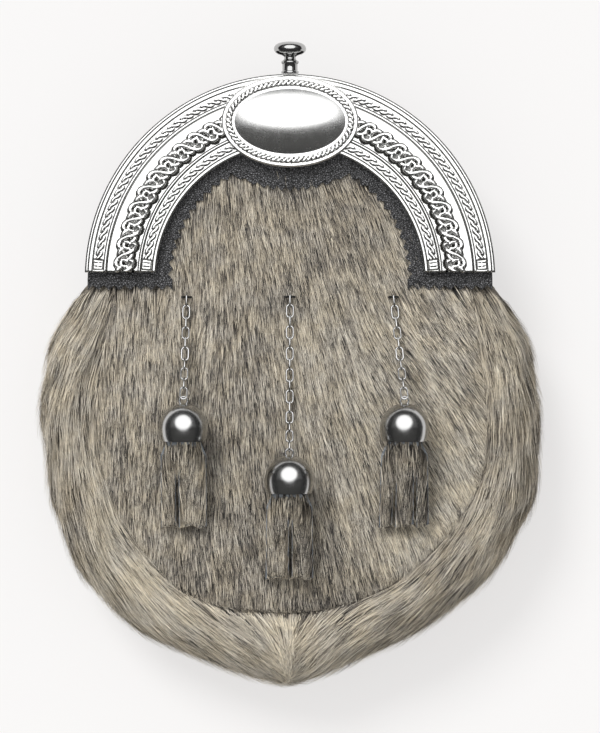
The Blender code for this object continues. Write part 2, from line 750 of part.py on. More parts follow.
def chain_route(chain):
    """Fine points from the eye to the bell's loop: along the fur, then up to the loop."""
    start = eye_spot(chain)
    end = bell_crown(chain)
    end += bell_axis() * BELL_LOOP_R
    share = np.linspace(0, 1, 121)
    x = start.x + share * (end.x - start.x)
    y = start.y + share * (end.y - start.y)
    fur = fur_top(x, y) + LINK_WIDTH / 2 + CHAIN_CLEAR
    lift = end.z - CHAIN_SLOPE * (1 - share) * (start.y - end.y)
    z = np.maximum(fur, lift)
    window = 9
    padded = np.pad(z, window, mode="reflect", reflect_type="odd")
    eased = np.convolve(padded, np.ones(2 * window + 1) / (2 * window + 1), mode="valid")
    z = np.maximum(eased, fur)
    return np.column_stack([x, y, z])


def link_places(chain):
    """Centre and direction of each link, and the length that makes the links interlock."""
    route = chain_route(chain)
    steps = np.linalg.norm(np.diff(route, axis=0), axis=1)
    length = np.concatenate([[0.0], np.cumsum(steps)])
    ends = (EYE_WIRE + BELL_LOOP_WIRE) / 2 + 2 * GAP
    count = max(2, round((length[-1] + ends) / LINK_PITCH))
    pitch = (length[-1] + ends - GAP) / count
    inner = pitch + GAP
    first = inner / 2 - EYE_WIRE / 2 - GAP

    def route_point(along):
        return Vector([float(np.interp(along, length, route[:, axis])) for axis in range(3)])

    places = []
    for k in range(count):
        along = first + k * pitch
        reach = inner / 2
        ahead = (route_point(along + reach) - route_point(along - reach)).normalized()
        places.append((route_point(along), ahead))
    return places, inner + 2 * LINK_WIRE


def make_link(name, centre, ahead, link_length, flat):
    """An oval link, lying flat or standing on edge."""
    side = ahead.cross(Vector((0, 0, 1))).normalized()
    up = side.cross(ahead).normalized()
    across, normal = (side, up) if flat else (up, side)
    half_long = (link_length - LINK_WIRE) / 2
    half_wide = (LINK_WIDTH - LINK_WIRE) / 2
    bend = half_wide
    spots = []
    for k in range(LINK_SIDES):
        angle = 2 * math.pi * k / LINK_SIDES
        straight = math.copysign(half_long - bend, math.cos(angle))
        if abs(math.cos(angle)) < 1e-6:
            straight = 0.0
        along = straight + bend * math.cos(angle)
        spots.append(centre + along * ahead + half_wide * math.sin(angle) * across)
    add_solid(name, *wire_ring(spots, normal, LINK_WIRE / 2), SILVER)


def make_chain(chain):
    places, link_length = link_places(chain)
    for k, (centre, ahead) in enumerate(places):
        make_link(f"chain_{chain.name}_link_{k + 1:02d}", centre, ahead, link_length, k % 2 == 1)
    return len(places)


def make_bell(chain, links):
    """A hollow dome with a solid crown and a loop that crosses the chain's last link."""
    axis = bell_axis()
    crown_spot = bell_crown(chain)
    mouth = crown_spot - axis * (BELL_HEIGHT + BELL_LOOP_R * 0.6)
    outer = [(point.radius * BELL_R, point.height * BELL_HEIGHT) for point in BELL_POINTS]
    inner_r = BELL_R - BELL_WALL
    inner_height = BELL_HEIGHT - BELL_CROWN_WALLS * BELL_WALL
    inner = [(point.radius * inner_r, point.height * inner_height) for point in BELL_POINTS]
    turned_axis = Vector((0, 0, 1)).rotation_difference(axis).to_matrix().to_4x4()
    place = Matrix.Translation(mouth) @ turned_axis
    shape = turn(outer + inner[::-1], ROUND_SIDES, place)
    bell = add_solid(f"bell_{chain.name}", *shape, POLISHED)
    last_is_flat = links % 2 == 0
    side = Vector((1, 0, 0)) if last_is_flat else Vector((1, 0, 0)).cross(axis)
    along = side.cross(axis)
    spots = []
    for k in range(8):
        angle = 2 * math.pi * k / 8
        spots.append(crown_spot + BELL_LOOP_R * (math.cos(angle) * axis + math.sin(angle) * along))
    loop = wire_ring(spots, side, BELL_LOOP_WIRE / 2)
    fuse(bell, add_solid(f"bell_loop_{chain.name}", *loop, POLISHED))
    return mouth


def bell_room(depth):
    """Free radius inside a bell, that deep above its mouth."""
    height = BELL_HEIGHT - BELL_CROWN_WALLS * BELL_WALL
    heights, radii = zip(*[(point.height * height, point.radius) for point in reversed(BELL_POINTS)])
    radius = float(np.interp(depth, heights, radii)) * (BELL_R - BELL_WALL)
    return radius * math.cos(math.pi / ROUND_SIDES) - CHAIN_CLEAR


def tassel_columns(chain):
    """Column places across the tassel, as shares, with a narrow pair at each slit."""
    half = TASSEL_SLIT / TASSEL_WIDTH / 2
    edges = [0.0, *chain.slits, 1.0]
    columns = []
    slit_cells = []
    for k, (left, right) in enumerate(zip(edges, edges[1:])):
        low = left + (half if k else 0)
        high = right - (half if k < len(chain.slits) else 0)
        if k:
            slit_cells.append(len(columns) - 1)
        inner_count = max(2, round((high - low) * 6))
        columns += list(np.linspace(low, high, inner_count + 1))
    return np.array(columns), slit_cells


def make_tassel(chain, mouth):
    """Strips of fur hide, held together inside the bell and cut straight across below."""
    columns, slit_cells = tassel_columns(chain)
    edge = TASSEL_EDGE * TASSEL_HEAD_THICKNESS / 2
    head_width = 2 * math.sqrt(bell_room(TASSEL_TUCK) ** 2 - edge**2)
    rows = np.array([0.0, 0.14, 0.26, 0.45, 0.65, 0.84, 1.0])
    along = -TASSEL_TUCK + rows * (TASSEL_TUCK + TASSEL_LENGTH)
    out = smoothstep((along - CHAIN_CLEAR) / (TASSEL_LENGTH / 8))
    width = head_width + out * (TASSEL_WIDTH * (1 + chain.flare * rows) - head_width)
    x = mouth.x + (columns[None, :] - 0.5) * width[:, None]
    ragged = 1 - 0.02 * (np.arange(len(columns)) % 3)
    y = mouth.y - along[:, None] * np.where(rows[:, None] > 0.9, ragged[None, :], 1.0)
    round_edge = TASSEL_EDGE + (1 - TASSEL_EDGE) * np.sqrt(1 - (2 * columns - 1) ** 2)
    tail = TASSEL_THICKNESS * (1 - 0.35 * rows)
    half = (TASSEL_HEAD_THICKNESS + out * (tail - TASSEL_HEAD_THICKNESS))[:, None] / 2 * round_edge
    rest = fur_top(x, y) + TASSEL_THICKNESS / 2 + CHAIN_CLEAR
    fall = smoothstep(np.maximum(along, 0) / TASSEL_LENGTH)[:, None]
    middle = mouth.z + fall * (rest - mouth.z)
    missing = {(i, j) for i in range(2, len(rows) - 1) for j in slit_cells}
    shape = sheet(x, y, middle - half, middle + half, missing)
    add_solid(f"tassel_{chain.name}", *shape, FUR)


def main():
    clear_scene()
    make_back_panel()
    make_fur_rim()
    make_front_pelt()
    make_gussets()
    make_yoke()
    make_cantle()
    make_boss()
    make_finial()
    make_belt_loops()
    for chain in CHAINS:
        make_eye(chain)
        links = make_chain(chain)
        mouth = make_bell(chain, links)
        make_tassel(chain, mouth)


main()
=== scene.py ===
"""The looks of a dress sporran pouch: fur, leather, cast and polished metal, floor, light, camera."""

import math
from collections import namedtuple

import bmesh
import bpy
import numpy as np
from mathutils import Matrix, Vector, kdtree
from mathutils.bvhtree import BVHTree


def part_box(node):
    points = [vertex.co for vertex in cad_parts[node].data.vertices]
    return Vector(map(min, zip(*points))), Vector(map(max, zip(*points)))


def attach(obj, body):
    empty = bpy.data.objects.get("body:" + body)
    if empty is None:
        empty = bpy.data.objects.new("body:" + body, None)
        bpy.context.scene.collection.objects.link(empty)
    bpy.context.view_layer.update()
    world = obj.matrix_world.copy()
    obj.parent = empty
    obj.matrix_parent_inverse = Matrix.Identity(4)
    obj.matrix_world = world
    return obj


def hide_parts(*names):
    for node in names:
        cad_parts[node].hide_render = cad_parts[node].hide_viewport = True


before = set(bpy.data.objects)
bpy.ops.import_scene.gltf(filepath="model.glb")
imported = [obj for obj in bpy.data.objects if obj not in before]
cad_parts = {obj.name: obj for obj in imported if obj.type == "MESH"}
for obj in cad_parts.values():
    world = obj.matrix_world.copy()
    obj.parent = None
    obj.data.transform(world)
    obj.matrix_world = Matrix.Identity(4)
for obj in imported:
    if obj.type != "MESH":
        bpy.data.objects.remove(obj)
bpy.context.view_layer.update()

MM = 0.001
SEED = 20

# Camera, as the photograph frames the pouch
CAMERA_DISTANCE = 1.6
CAMERA_AIM = Vector((0.0040, -0.0010, 0.0380))
FRAME_HEIGHT = 0.2932
SENSOR = 36.0

# Cantle relief: insets are measured from the ring's outer edge inward
RING_WIDTH = 28.4 * MM
RING_GRID = (880, 108)
RING_BEVEL = 0.5 * MM
PLATE = 2.9 * MM
ENGRAVED_DEPTH = 0.35 * MM
BRAID_INSETS = (5.2 * MM, 24.4 * MM)
BRAID_PITCHES = (6.12 * MM, 6.80 * MM)
BRAID_SWING = 0.70 * MM
BRAID_HALF = 0.52 * MM
BRAID_RISE = 0.45 * MM
BRAID_OUTLINE = 0.22
KNOT_INSET = 15.5 * MM
KNOT_PITCH = 14.9 * MM
KNOT_SWING = 3.30 * MM
KNOT_RING_R = 2.45 * MM
KNOT_RING_TURN = math.radians(50)
KNOT_LOBE_R = 1.30 * MM
KNOT_LOBE_TURN = math.radians(-35)
KNOT_LOBE_SIZE = 0.85
KNOT_HALF = 0.74 * MM
KNOT_RISE = 1.15 * MM
KNOT_OUTLINE = 0.75
# Rows of ground inward of the knots that are painted black as their shadow
KNOT_SHADOW_ROWS = 3
GAP_WIDTH = 0.28 * MM
LANE_GAP = 0.35 * MM
PANEL_SIZE = 4.5 * MM
PANEL_FOOT_GAP = 0.7 * MM
PANEL_LANE_GAP = 0.9 * MM
PANEL_DARK = 0.8
FLANGE_HALF = (27.4 * MM, 18.4 * MM)
FLANGE_GRID = (440, 46)
FLANGE_REACH = 9.0 * MM
FLANGE_PLATE = 4.4 * MM
FLANGE_BEVEL = 0.9 * MM
ROPE_INSET = 3.00 * MM
ROPE_HALF = 1.05 * MM
ROPE_STRAND = 0.62 * ROPE_HALF
ROPE_SWING = 0.55 * ROPE_HALF
ROPE_RISE = 0.9 * MM
ROPE_PITCH = 4.0 * MM
EngravedLine = namedtuple("EngravedLine", "inset width depth")
ENGRAVED = (
    EngravedLine(1.3 * MM, 0.16 * MM, 0.7),
    EngravedLine(2.9 * MM, 0.15 * MM, 0.9),
    EngravedLine(7.4 * MM, 0.12 * MM, 0.5),
    EngravedLine(8.6 * MM, 0.24 * MM, 1.0),
    EngravedLine(9.7 * MM, 0.11 * MM, 0.4),
    EngravedLine(21.2 * MM, 0.14 * MM, 0.6),
    EngravedLine(22.2 * MM, 0.18 * MM, 0.9),
    EngravedLine(26.8 * MM, 0.15 * MM, 0.7),
)

# Fur: hairs on each form, and the most triangles that one piece of hair has
FRONT_STRANDS = 78000
RIM_STRANDS = 49000
TASSEL_STRANDS = 5200
PIECE_TRIANGLES = 190000
HAIR_WIDTH = 0.33 * MM
HAIR_CURL = 0.07
HAIR_ROLL = 0.6
HAIR_TAPER = 0.75
ROOT_SHADE = -0.22
TIP_SHADE = 0.06
# Locks: how much longer than wide, out of how many near leaders, and how much they draw hairs in
LOCK_STRETCH = 7.0
LOCK_CHOICE = 14
LOCK_PULL = 0.45
# Corners of a solid that are nearer than this are one point
JOIN_WITHIN = 2e-6


def new_mesh(name, vertices, faces, smooth=True):
    """A mesh object from an array of points and an array or list of faces."""
    mesh = bpy.data.meshes.new(name)
    if isinstance(faces, np.ndarray):
        corners = faces.shape[1]
        mesh.vertices.add(len(vertices))
        mesh.vertices.foreach_set("co", np.asarray(vertices, np.float32).ravel())
        mesh.loops.add(faces.size)
        mesh.loops.foreach_set("vertex_index", faces.ravel().astype(np.int32))
        mesh.polygons.add(len(faces))
        mesh.polygons.foreach_set("loop_start", np.arange(0, faces.size, corners, dtype=np.int32))
        mesh.update(calc_edges=True)
    else:
        mesh.from_pydata([tuple(map(float, p)) for p in vertices], [], faces)
    mesh.validate()
    if smooth:
        mesh.shade_smooth()
    piece = bpy.data.objects.new(name, mesh)
    bpy.context.scene.collection.objects.link(piece)
    return piece


def attribute(piece, name, values):
    layer = piece.data.attributes.new(name, "FLOAT", "POINT")
    layer.data.foreach_set("value", np.asarray(values, np.float32).ravel())


def finish_piece(piece, material, slot, *nodes):
    piece.data.materials.clear()
    piece.data.materials.append(material)
    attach(piece, "root")
    if nodes:
        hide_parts(*nodes)
    return piece


def grid_faces(rows, columns, wrap=False):
    """Quads of a grid of points, with the columns closed into a ring if asked."""
    i = np.arange(rows - 1)[:, None]
    j = np.arange(columns if wrap else columns - 1)[None, :]
    near = i * columns + j
    beside = i * columns + (j + 1) % columns
    return np.stack([near, beside, beside + columns, near + columns], axis=-1).reshape(-1, 4)


class Shader:
    """A material's node tree, with short calls to add and join nodes."""

    def __init__(self, name):
        self.material = bpy.data.materials.new(name)
        self.material.use_nodes = True
        self.tree = self.material.node_tree
        self.principled = self.tree.nodes["Principled BSDF"]

    def add(self, kind, **settings):
        node = self.tree.nodes.new(kind)
        for key, value in settings.items():
            if key in node.inputs:
                node.inputs[key].default_value = value
            else:
                setattr(node, key, value)
        return node

    def join(self, source, target):
        self.tree.links.new(source, target)

    def set(self, **values):
        names = {"color": "Base Color", "ior_level": "Specular IOR Level", "coat": "Coat Weight"}
        for key, value in values.items():
            socket = names.get(key, key.capitalize())
            self.principled.inputs[socket].default_value = value

    def attribute(self, name):
        return self.add("ShaderNodeAttribute", attribute_name=name).outputs["Fac"]

    def ramp(self, source, stops):
        node = self.add("ShaderNodeValToRGB")
        elements = node.color_ramp.elements
        while len(elements) < len(stops):
            elements.new(0.5)
        for element, (place, colour) in zip(elements, stops):
            element.position = place
            element.color = (*colour, 1.0)
        self.join(source, node.inputs["Fac"])
        return node.outputs["Color"]

    def spread(self, source, low, high):
        node = self.add("ShaderNodeMapRange")
        node.inputs["To Min"].default_value = low
        node.inputs["To Max"].default_value = high
        self.join(source, node.inputs["Value"])
        return node.outputs["Result"]

    def noise(self, scale, detail=2.0, roughness=0.5):
        spot = self.add("ShaderNodeTexCoord")
        node = self.add("ShaderNodeTexNoise")
        node.inputs["Scale"].default_value = scale
        node.inputs["Detail"].default_value = detail
        node.inputs["Roughness"].default_value = roughness
        self.join(spot.outputs["Object"], node.inputs["Vector"])
        return node.outputs["Fac"]

    def bump(self, source, distance, strength=1.0):
        node = self.add("ShaderNodeBump")
        node.inputs["Distance"].default_value = distance
        node.inputs["Strength"].default_value = strength
        self.join(source, node.inputs["Height"])
        self.join(node.outputs["Normal"], self.principled.inputs["Normal"])


def fur_material(name, stops):
    shader = Shader(name)
    shader.set(roughness=0.55, ior_level=0.35)
    colour = shader.ramp(shader.attribute("tone"), stops)
    tint = shader.ramp(shader.noise(110.0, 3.0), ((0.38, COOL), (0.62, WARM)))
    mixed = shader.add("ShaderNodeVectorMath", operation="MULTIPLY")
    shader.join(colour, mixed.inputs[0])
    shader.join(tint, mixed.inputs[1])
    shader.join(mixed.outputs[0], shader.principled.inputs["Base Color"])
    return shader.material


def skin_material(name, dark, light):
    shader = Shader(name)
    shader.set(roughness=0.8, ior_level=0.2)
    grain = shader.noise(900.0, 3.0)
    colour = shader.ramp(grain, ((0.3, dark), (0.7, light)))
    shader.join(colour, shader.principled.inputs["Base Color"])
    shader.bump(grain, 0.4 * MM)
    return shader.material


# Leather grain colour: the first share darkens the pits as painted shade, the second lightens the
# pebble tops as a painted highlight
PEBBLE_SCALE = 1400.0
PEBBLE_BUMP = 0.8 * MM
PAINTED_PIT_SHADE = 0.03
PAINTED_TOP_HIGHLIGHT = 3.8


def leather_material(name, colour, roughness):
    """Grained leather: pebbles of two sizes, with a sheen that varies over the hide. Its colour holds
    painted light: pebble tops lighter as a painted highlight, pits darker as painted shade.
    """
    shader = Shader(name)
    shader.set(ior_level=0.6)
    spot = shader.add("ShaderNodeTexCoord")
    pebbles = shader.add("ShaderNodeTexVoronoi", feature="DISTANCE_TO_EDGE")
    pebbles.inputs["Scale"].default_value = PEBBLE_SCALE
    shader.join(spot.outputs["Object"], pebbles.inputs["Vector"])
    fine = shader.noise(2600.0, 2.0)
    height = shader.add("ShaderNodeMath", operation="MULTIPLY_ADD")
    height.inputs[1].default_value = 0.5
    shader.join(fine, height.inputs[0])
    shader.join(pebbles.outputs["Distance"], height.inputs[2])
    shader.bump(height.outputs[0], PEBBLE_BUMP)
    wear = shader.noise(120.0, 3.0)
    # Painted shade in the pits and a painted highlight on the pebble tops, laid into the base colour
    painted_pit_shade = tuple(c * PAINTED_PIT_SHADE for c in colour)
    top = tuple(c * PAINTED_TOP_HIGHLIGHT for c in colour)
    painted_pebble_light = shader.ramp(pebbles.outputs["Distance"], ((0.05, painted_pit_shade), (0.14, colour), (0.40, top)))
    shader.join(painted_pebble_light, shader.principled.inputs["Base Color"])
    sheen = shader.spread(wear, roughness - 0.08, roughness + 0.1)
    shader.join(sheen, shader.principled.inputs["Roughness"])
    return shader.material


# Colour by the patina attribute, from bare silver to black: blackened recesses, and the painted shadow
# beside the cantle's knots
PATINA_AND_PAINTED_SHADOW_STOPS = (
    (0.00, (0.93, 0.93, 0.92)),
    (0.45, (0.55, 0.55, 0.53)),
    (1.00, (0.02, 0.02, 0.018)),
)


def silver_material(name, roughness, patina_and_painted_shadow=False, shade=1.0):
    """Silver plate, or darker nickel by that shade. Where the patina attribute is read, recesses are
    blackened, and the painted shadow beside the cantle's knots is laid in black.
    """
    shader = Shader(name)
    shader.set(metallic=1.0)
    smear = shader.noise(350.0, 2.0)
    if patina_and_painted_shadow:
        colour = shader.ramp(shader.attribute("patina_and_painted_shadow"), PATINA_AND_PAINTED_SHADOW_STOPS)
    else:
        dull, bright = ((shade * c, shade * c, shade * (c - 0.01)) for c in (0.90, 0.96))
        colour = shader.ramp(smear, ((0.3, dull), (0.7, bright)))
    shader.join(colour, shader.principled.inputs["Base Color"])
    gloss = shader.spread(smear, roughness * 0.8, roughness * 1.2)
    shader.join(gloss, shader.principled.inputs["Roughness"])
    shader.bump(shader.noise(1500.0, 2.0), 0.002 * MM, 0.2)
    return shader.material


# Fur's tint from place to place, and its colour by tone from dark to pale
COOL = (0.98, 0.99, 1.01)
WARM = (1.02, 1.00, 0.95)
FUR_STOPS = (
    (0.00, (0.016, 0.015, 0.014)),
    (0.25, (0.080, 0.072, 0.064)),
    (0.50, (0.320, 0.284, 0.236)),
    (0.75, (0.600, 0.535, 0.430)),
    (1.00, (0.820, 0.755, 0.630)),
)
FUR = fur_material("fur_strands", FUR_STOPS)
SKIN = skin_material("fur_base", (0.08, 0.07, 0.058), (0.26, 0.232, 0.19))
TASSEL_HIDE = skin_material("cut_hide", (0.16, 0.18, 0.20), (0.32, 0.34, 0.36))
BLACK_LEATHER = leather_material("black_leather", (0.085, 0.085, 0.088), 0.36)
BACK_LEATHER = leather_material("back_leather", (0.016, 0.015, 0.0145), 0.55)
CAST_SILVER = silver_material("antiqued_silver", 0.24, True)
LINK_SILVER = silver_material("link_nickel", 0.09, shade=0.76)
BELL_SILVER = silver_material("bell_nickel", 0.21, shade=0.60)
FINIAL_SILVER = silver_material("finial_nickel", 0.14, shade=0.50)
POLISHED = silver_material("polished_silver", 0.26)
STAPLE = leather_material("blackened_wire", (0.02, 0.02, 0.02), 0.4)


def mesh_arrays(mesh):
    """A mesh's points and its triangles' corners."""
    mesh.calc_loop_triangles()
    points = np.empty(len(mesh.vertices) * 3, np.float32)
    mesh.vertices.foreach_get("co", points)
    corners = np.empty(len(mesh.loop_triangles) * 3, np.int32)
    mesh.loop_triangles.foreach_get("vertices", corners)
    return points.reshape(-1, 3).astype(float), corners


def merged_mesh(node):
    """Points and triangles of a CAD node, with its split corners joined."""
    points, corners = mesh_arrays(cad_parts[node].data)
    cells = np.round(points / JOIN_WITHIN).astype(np.int64)
    _, first, joined = np.unique(cells, axis=0, return_index=True, return_inverse=True)
    return points[first], joined.ravel()[corners].reshape(-1, 3)


def surface(points, triangles):
    """A form's points, triangles, smooth normals and areas."""
    cross = np.cross(
        points[triangles[:, 1]] - points[triangles[:, 0]],
        points[triangles[:, 2]] - points[triangles[:, 0]],
    )
    normals = np.zeros_like(points)
    for k in range(3):
        np.add.at(normals, triangles[:, k], cross)
    normals /= np.maximum(np.linalg.norm(normals, axis=1, keepdims=True), 1e-12)
    return points, triangles, normals, np.linalg.norm(cross, axis=1) / 2


def eased_form(node, levels):
    """A node's form with its facets rounded by that many levels of subdivision."""
    points, triangles = merged_mesh(node)
    if levels:
        draft = new_mesh("draft", points, triangles)
        draft.modifiers.new("rounding", "SUBSURF").levels = levels
        shaped = draft.evaluated_get(bpy.context.evaluated_depsgraph_get())
        points, corners = mesh_arrays(shaped.to_mesh())
        triangles = corners.reshape(-1, 3)
        shaped.to_mesh_clear()
        bpy.data.objects.remove(draft)
    return surface(points, triangles)


def scatter(node, count, rng, keep, levels=0):
    """Random points on a node's surface and their smooth normals, where keep says so."""
    points, triangles, normals, areas = eased_form(node, levels)
    centres = points[triangles].mean(axis=1)
    face_normals = normals[triangles].mean(axis=1)
    weight = areas * keep(centres, face_normals)
    picked = rng.choice(len(triangles), size=count, p=weight / weight.sum())
    a, b = rng.random((2, count))
    fold = a + b > 1
    a[fold], b[fold] = 1 - a[fold], 1 - b[fold]
    share = np.stack([1 - a - b, a, b], axis=1)[:, :, None]
    spots = (points[triangles[picked]] * share).sum(axis=1)
    ups = (normals[triangles[picked]] * share).sum(axis=1)
    ups /= np.linalg.norm(ups, axis=1, keepdims=True)
    return spots, ups


def wander(points, size, rng):
    """Smooth random values from -1 to 1 over the plan, on a grid of that size."""
    low = points[:, :2].min(axis=0) - size
    cells = ((points[:, :2].max(axis=0) - low) / size).astype(int) + 3
    values = rng.uniform(-1, 1, size=tuple(cells))
    place = (points[:, :2] - low) / size
    whole = place.astype(int)
    part = place - whole
    part = part * part * (3 - 2 * part)
    i, j = whole.T
    fi, fj = part.T
    top = values[i, j] * (1 - fj) + values[i, j + 1] * fj
    bottom = values[i + 1, j] * (1 - fj) + values[i + 1, j + 1] * fj
    return top * (1 - fi) + bottom * fi


def lock_of(points, heading, centres):
    """For each hair the lock it lies in: long cells round the centres, along the hair's heading."""
    tree = kdtree.KDTree(len(centres))
    for k, centre in enumerate(centres):
        tree.insert(centre, k)
    tree.balance()
    found = np.array([[hit[1] for hit in tree.find_n(p, LOCK_CHOICE)] for p in points])
    away = centres[found] - points[:, None]
    ahead = np.stack([np.sin(heading), -np.cos(heading)], axis=1)
    along = (away[..., :2] * ahead[:, None]).sum(axis=-1)
    far = (away**2).sum(axis=-1) - along**2 + (along / LOCK_STRETCH) ** 2
    return found[np.arange(len(points)), far.argmin(axis=1)]


def over_seam(spots, ups, beside, reach, rng):
    """Moves the roots that are beside a seam out over it, at their own height."""
    level = ups * (1, 1, 0)
    level /= np.maximum(np.linalg.norm(level, axis=1, keepdims=True), 1e-6)
    spots = spots + level * (beside * rng.uniform(0, reach, len(spots)))[:, None]
    raised = 0.3 * ups + (0, 0, 0.7)
    raised /= np.linalg.norm(raised, axis=1, keepdims=True)
    return spots, np.where(beside[:, None], raised, ups)


# length, width: of a middling hair. depth: of its root. rise: of its tip above the form.
# spread: how much headings differ, in radians. dark and wisps: shares of dark guard hairs and of
# loose hairs. vary: how much tones differ. lock: share of hairs that lead a lock. levels: how
# much the form is rounded first.
Coat = namedtuple("Coat", "length width depth rise spread dark wisps vary lock segments levels")


def follow(tree, spots, ups, offset):
    """Spots moved to that height above the form, beside their nearest places on it."""
    out = np.empty_like(spots)
    for k, (spot, up, high) in enumerate(zip(spots.tolist(), ups, offset)):
        place, normal, _, _ = tree.find_nearest(spot)
        blend = up * 0.5 + np.array(normal)
        out[k] = np.array(place) + blend / np.linalg.norm(blend) * high
    return out


Hairs = namedtuple("Hairs", "roots ups heading curl length tip")


def hair_tips(coat, dark, wisp, lock, rng):
    """Height of each hair's tip above the form: its own part and its lock's."""
    count = len(dark)
    tip = coat.rise * (rng.uniform(0.0, 1.0, count) + np.where(dark, 0.3, 0.0))
    locked = tip + coat.rise * rng.uniform(0, 0.9, count)[lock]
    return np.where(wisp, tip + 2.5 * coat.rise, locked)


def lay_lines(tree, hairs, coat, free, lift):
    """The hairs' middle lines as rows by hairs, laid row by row along the form."""
    count = len(hairs.roots)
    line = np.empty((coat.segments + 1, count, 3))
    line[0] = hairs.roots - hairs.ups * coat.depth
    spot = hairs.roots
    for k in range(1, coat.segments + 1):
        share = k / coat.segments
        bearing = hairs.heading + hairs.curl * share
        ahead = np.stack([np.sin(bearing), -np.cos(bearing), np.zeros(count)], axis=1)
        ahead -= hairs.ups * (ahead * hairs.ups).sum(axis=1, keepdims=True)
        ahead /= np.maximum(np.linalg.norm(ahead, axis=1, keepdims=True), 0.35)
        offset = -coat.depth * (1 - share) ** 2 + hairs.tip * share + lift
        onward = spot + ahead * (hairs.length / coat.segments)[:, None]
        along_form = follow(tree, onward, hairs.ups, offset)
        spot = np.where(np.reshape(free, (-1, 1)), onward, along_form)
        line[k] = spot
    line[..., 2] = np.maximum(line[..., 2], 0.1 * MM)
    return line


def widen(line, ups, coat, dark, wisp, rng):
    """Tapering ribbons round the middle lines, each rolled a little about its own."""
    rows, count = line.shape[:2]
    across = np.cross(np.gradient(line, axis=0), ups[None])
    across /= np.maximum(np.linalg.norm(across, axis=-1, keepdims=True), 1e-9)
    roll = rng.uniform(-HAIR_ROLL, HAIR_ROLL, count)[None, :, None]
    across = np.cos(roll) * across + np.sin(roll) * ups[None]
    taper = (1 - HAIR_TAPER * np.linspace(0, 1, rows) ** 2)[:, None, None]
    fine = np.where(dark, 0.8, 1.0) * np.where(wisp, 0.5, 1.0)
    width = coat.width * rng.uniform(0.6, 1.3, count) * fine
    half = width[None, :, None] / 2 * taper
    return np.stack([line - across * half, line + across * half], axis=2)


def shades_of(tone, coat, dark, lock, rng):
    """Tones by rows, hairs and edges, from the dark root to the paler tip."""
    count = len(dark)
    tone = tone + coat.vary * (rng.normal(0, 0.8, count)[lock] + rng.normal(0, 1, count))
    tone = np.where(dark, tone - rng.uniform(0.25, 0.55, count), tone + 0.07)
    shade = np.linspace(ROOT_SHADE, TIP_SHADE, coat.segments + 1)[:, None] + tone[None, :]
    return np.repeat(np.clip(shade, 0, 1)[:, :, None], 2, axis=2)


def grow(node, roots, ups, heading, coat, tone, rng, free=False, lift=0.0):
    """Ribbons of hair along a node's form, as hairs by rows by two edges, and their tones.

    Hairs that are free of the form run straight on, and lift raises the others all along."""
    points, triangles, _, _ = eased_form(node, coat.levels)
    tree = BVHTree.FromPolygons(points.tolist(), triangles.tolist())
    count = len(roots)
    dark = rng.random(count) < coat.dark
    wisp = rng.random(count) < coat.wisps
    length = coat.length * rng.uniform(0.6, 1.15, count) * np.where(wisp, 1.25, 1.0)
    leaders = np.arange(count)[:: int(1 / coat.lock)]
    lock = leaders[lock_of(roots, heading, roots[leaders])]
    own = heading + rng.normal(0, coat.spread, count)
    heading = own + LOCK_PULL * (own[lock] - own)
    curl = rng.normal(0, HAIR_CURL, count)
    tip = hair_tips(coat, dark, wisp, lock, rng)
    line = lay_lines(tree, Hairs(roots, ups, heading, curl, length, tip), coat, free, lift)
    ribbon = widen(line, ups, coat, dark, wisp, rng)
    shade = shades_of(tone, coat, dark, lock, rng)
    return ribbon.transpose(1, 0, 2, 3), shade.transpose(1, 0, 2)


def hair_piece(name, points, tone):
    """One mesh from strands of equal rows."""
    strands, rows = points.shape[:2]
    row = np.arange(rows - 1) * 2
    quad = np.stack([row, row + 1, row + 3, row + 2], axis=1)
    faces = (np.arange(strands)[:, None, None] * rows * 2 + quad[None]).reshape(-1, 4)
    piece = new_mesh(name, points.reshape(-1, 3), faces)
    attribute(piece, "tone", tone)
    return piece


def hair_pieces(name, points, tone, slot):
    """Splits the strands into pieces that each stay under the triangle limit."""
    per_piece = PIECE_TRIANGLES // (2 * (points.shape[1] - 1))
    parts = math.ceil(len(points) / per_piece)
    for k in range(parts):
        label = f"{name}_{k + 1}" if parts > 1 else name
        piece = hair_piece(label, points[k::parts], tone[k::parts])
        finish_piece(piece, FUR, slot)


def skin_piece(name, node, depth, material, slot, levels=0):
    """The hide under the fur: the node's form, drawn in by that depth."""
    points, triangles, normals, _ = eased_form(node, levels)
    piece = new_mesh(name, points - normals * depth, triangles)
    return finish_piece(piece, material, slot, node)


# Front fur: heading in degrees from straight down, towards +X, over places in millimetres
FRONT_X = (-80, -40, 0, 40, 80)
FRONT_Y = (80, 40, 0, -40, -80)
FRONT_HEADINGS = (
    (0, 5, 15, 20, 20),
    (0, 3, 12, 28, 32),
    (-2, 0, 8, 30, 35),
    (0, 0, 5, 28, 34),
    (5, 3, 5, 20, 30),
)


def front_heading(spots):
    """Heading of the front's hair in radians, read from the table between its places."""
    x = np.clip(np.interp(spots[:, 0] / MM, FRONT_X, range(5)), 0, 3.999)
    y = np.clip(np.interp(-spots[:, 1] / MM, [-v for v in FRONT_Y], range(5)), 0, 3.999)
    table = np.radians(FRONT_HEADINGS)
    i, j = y.astype(int), x.astype(int)
    fi, fj = y - i, x - j
    upper = table[i, j] * (1 - fj) + table[i, j + 1] * fj
    lower = table[i + 1, j] * (1 - fj) + table[i + 1, j + 1] * fj
    return upper * (1 - fi) + lower * fi


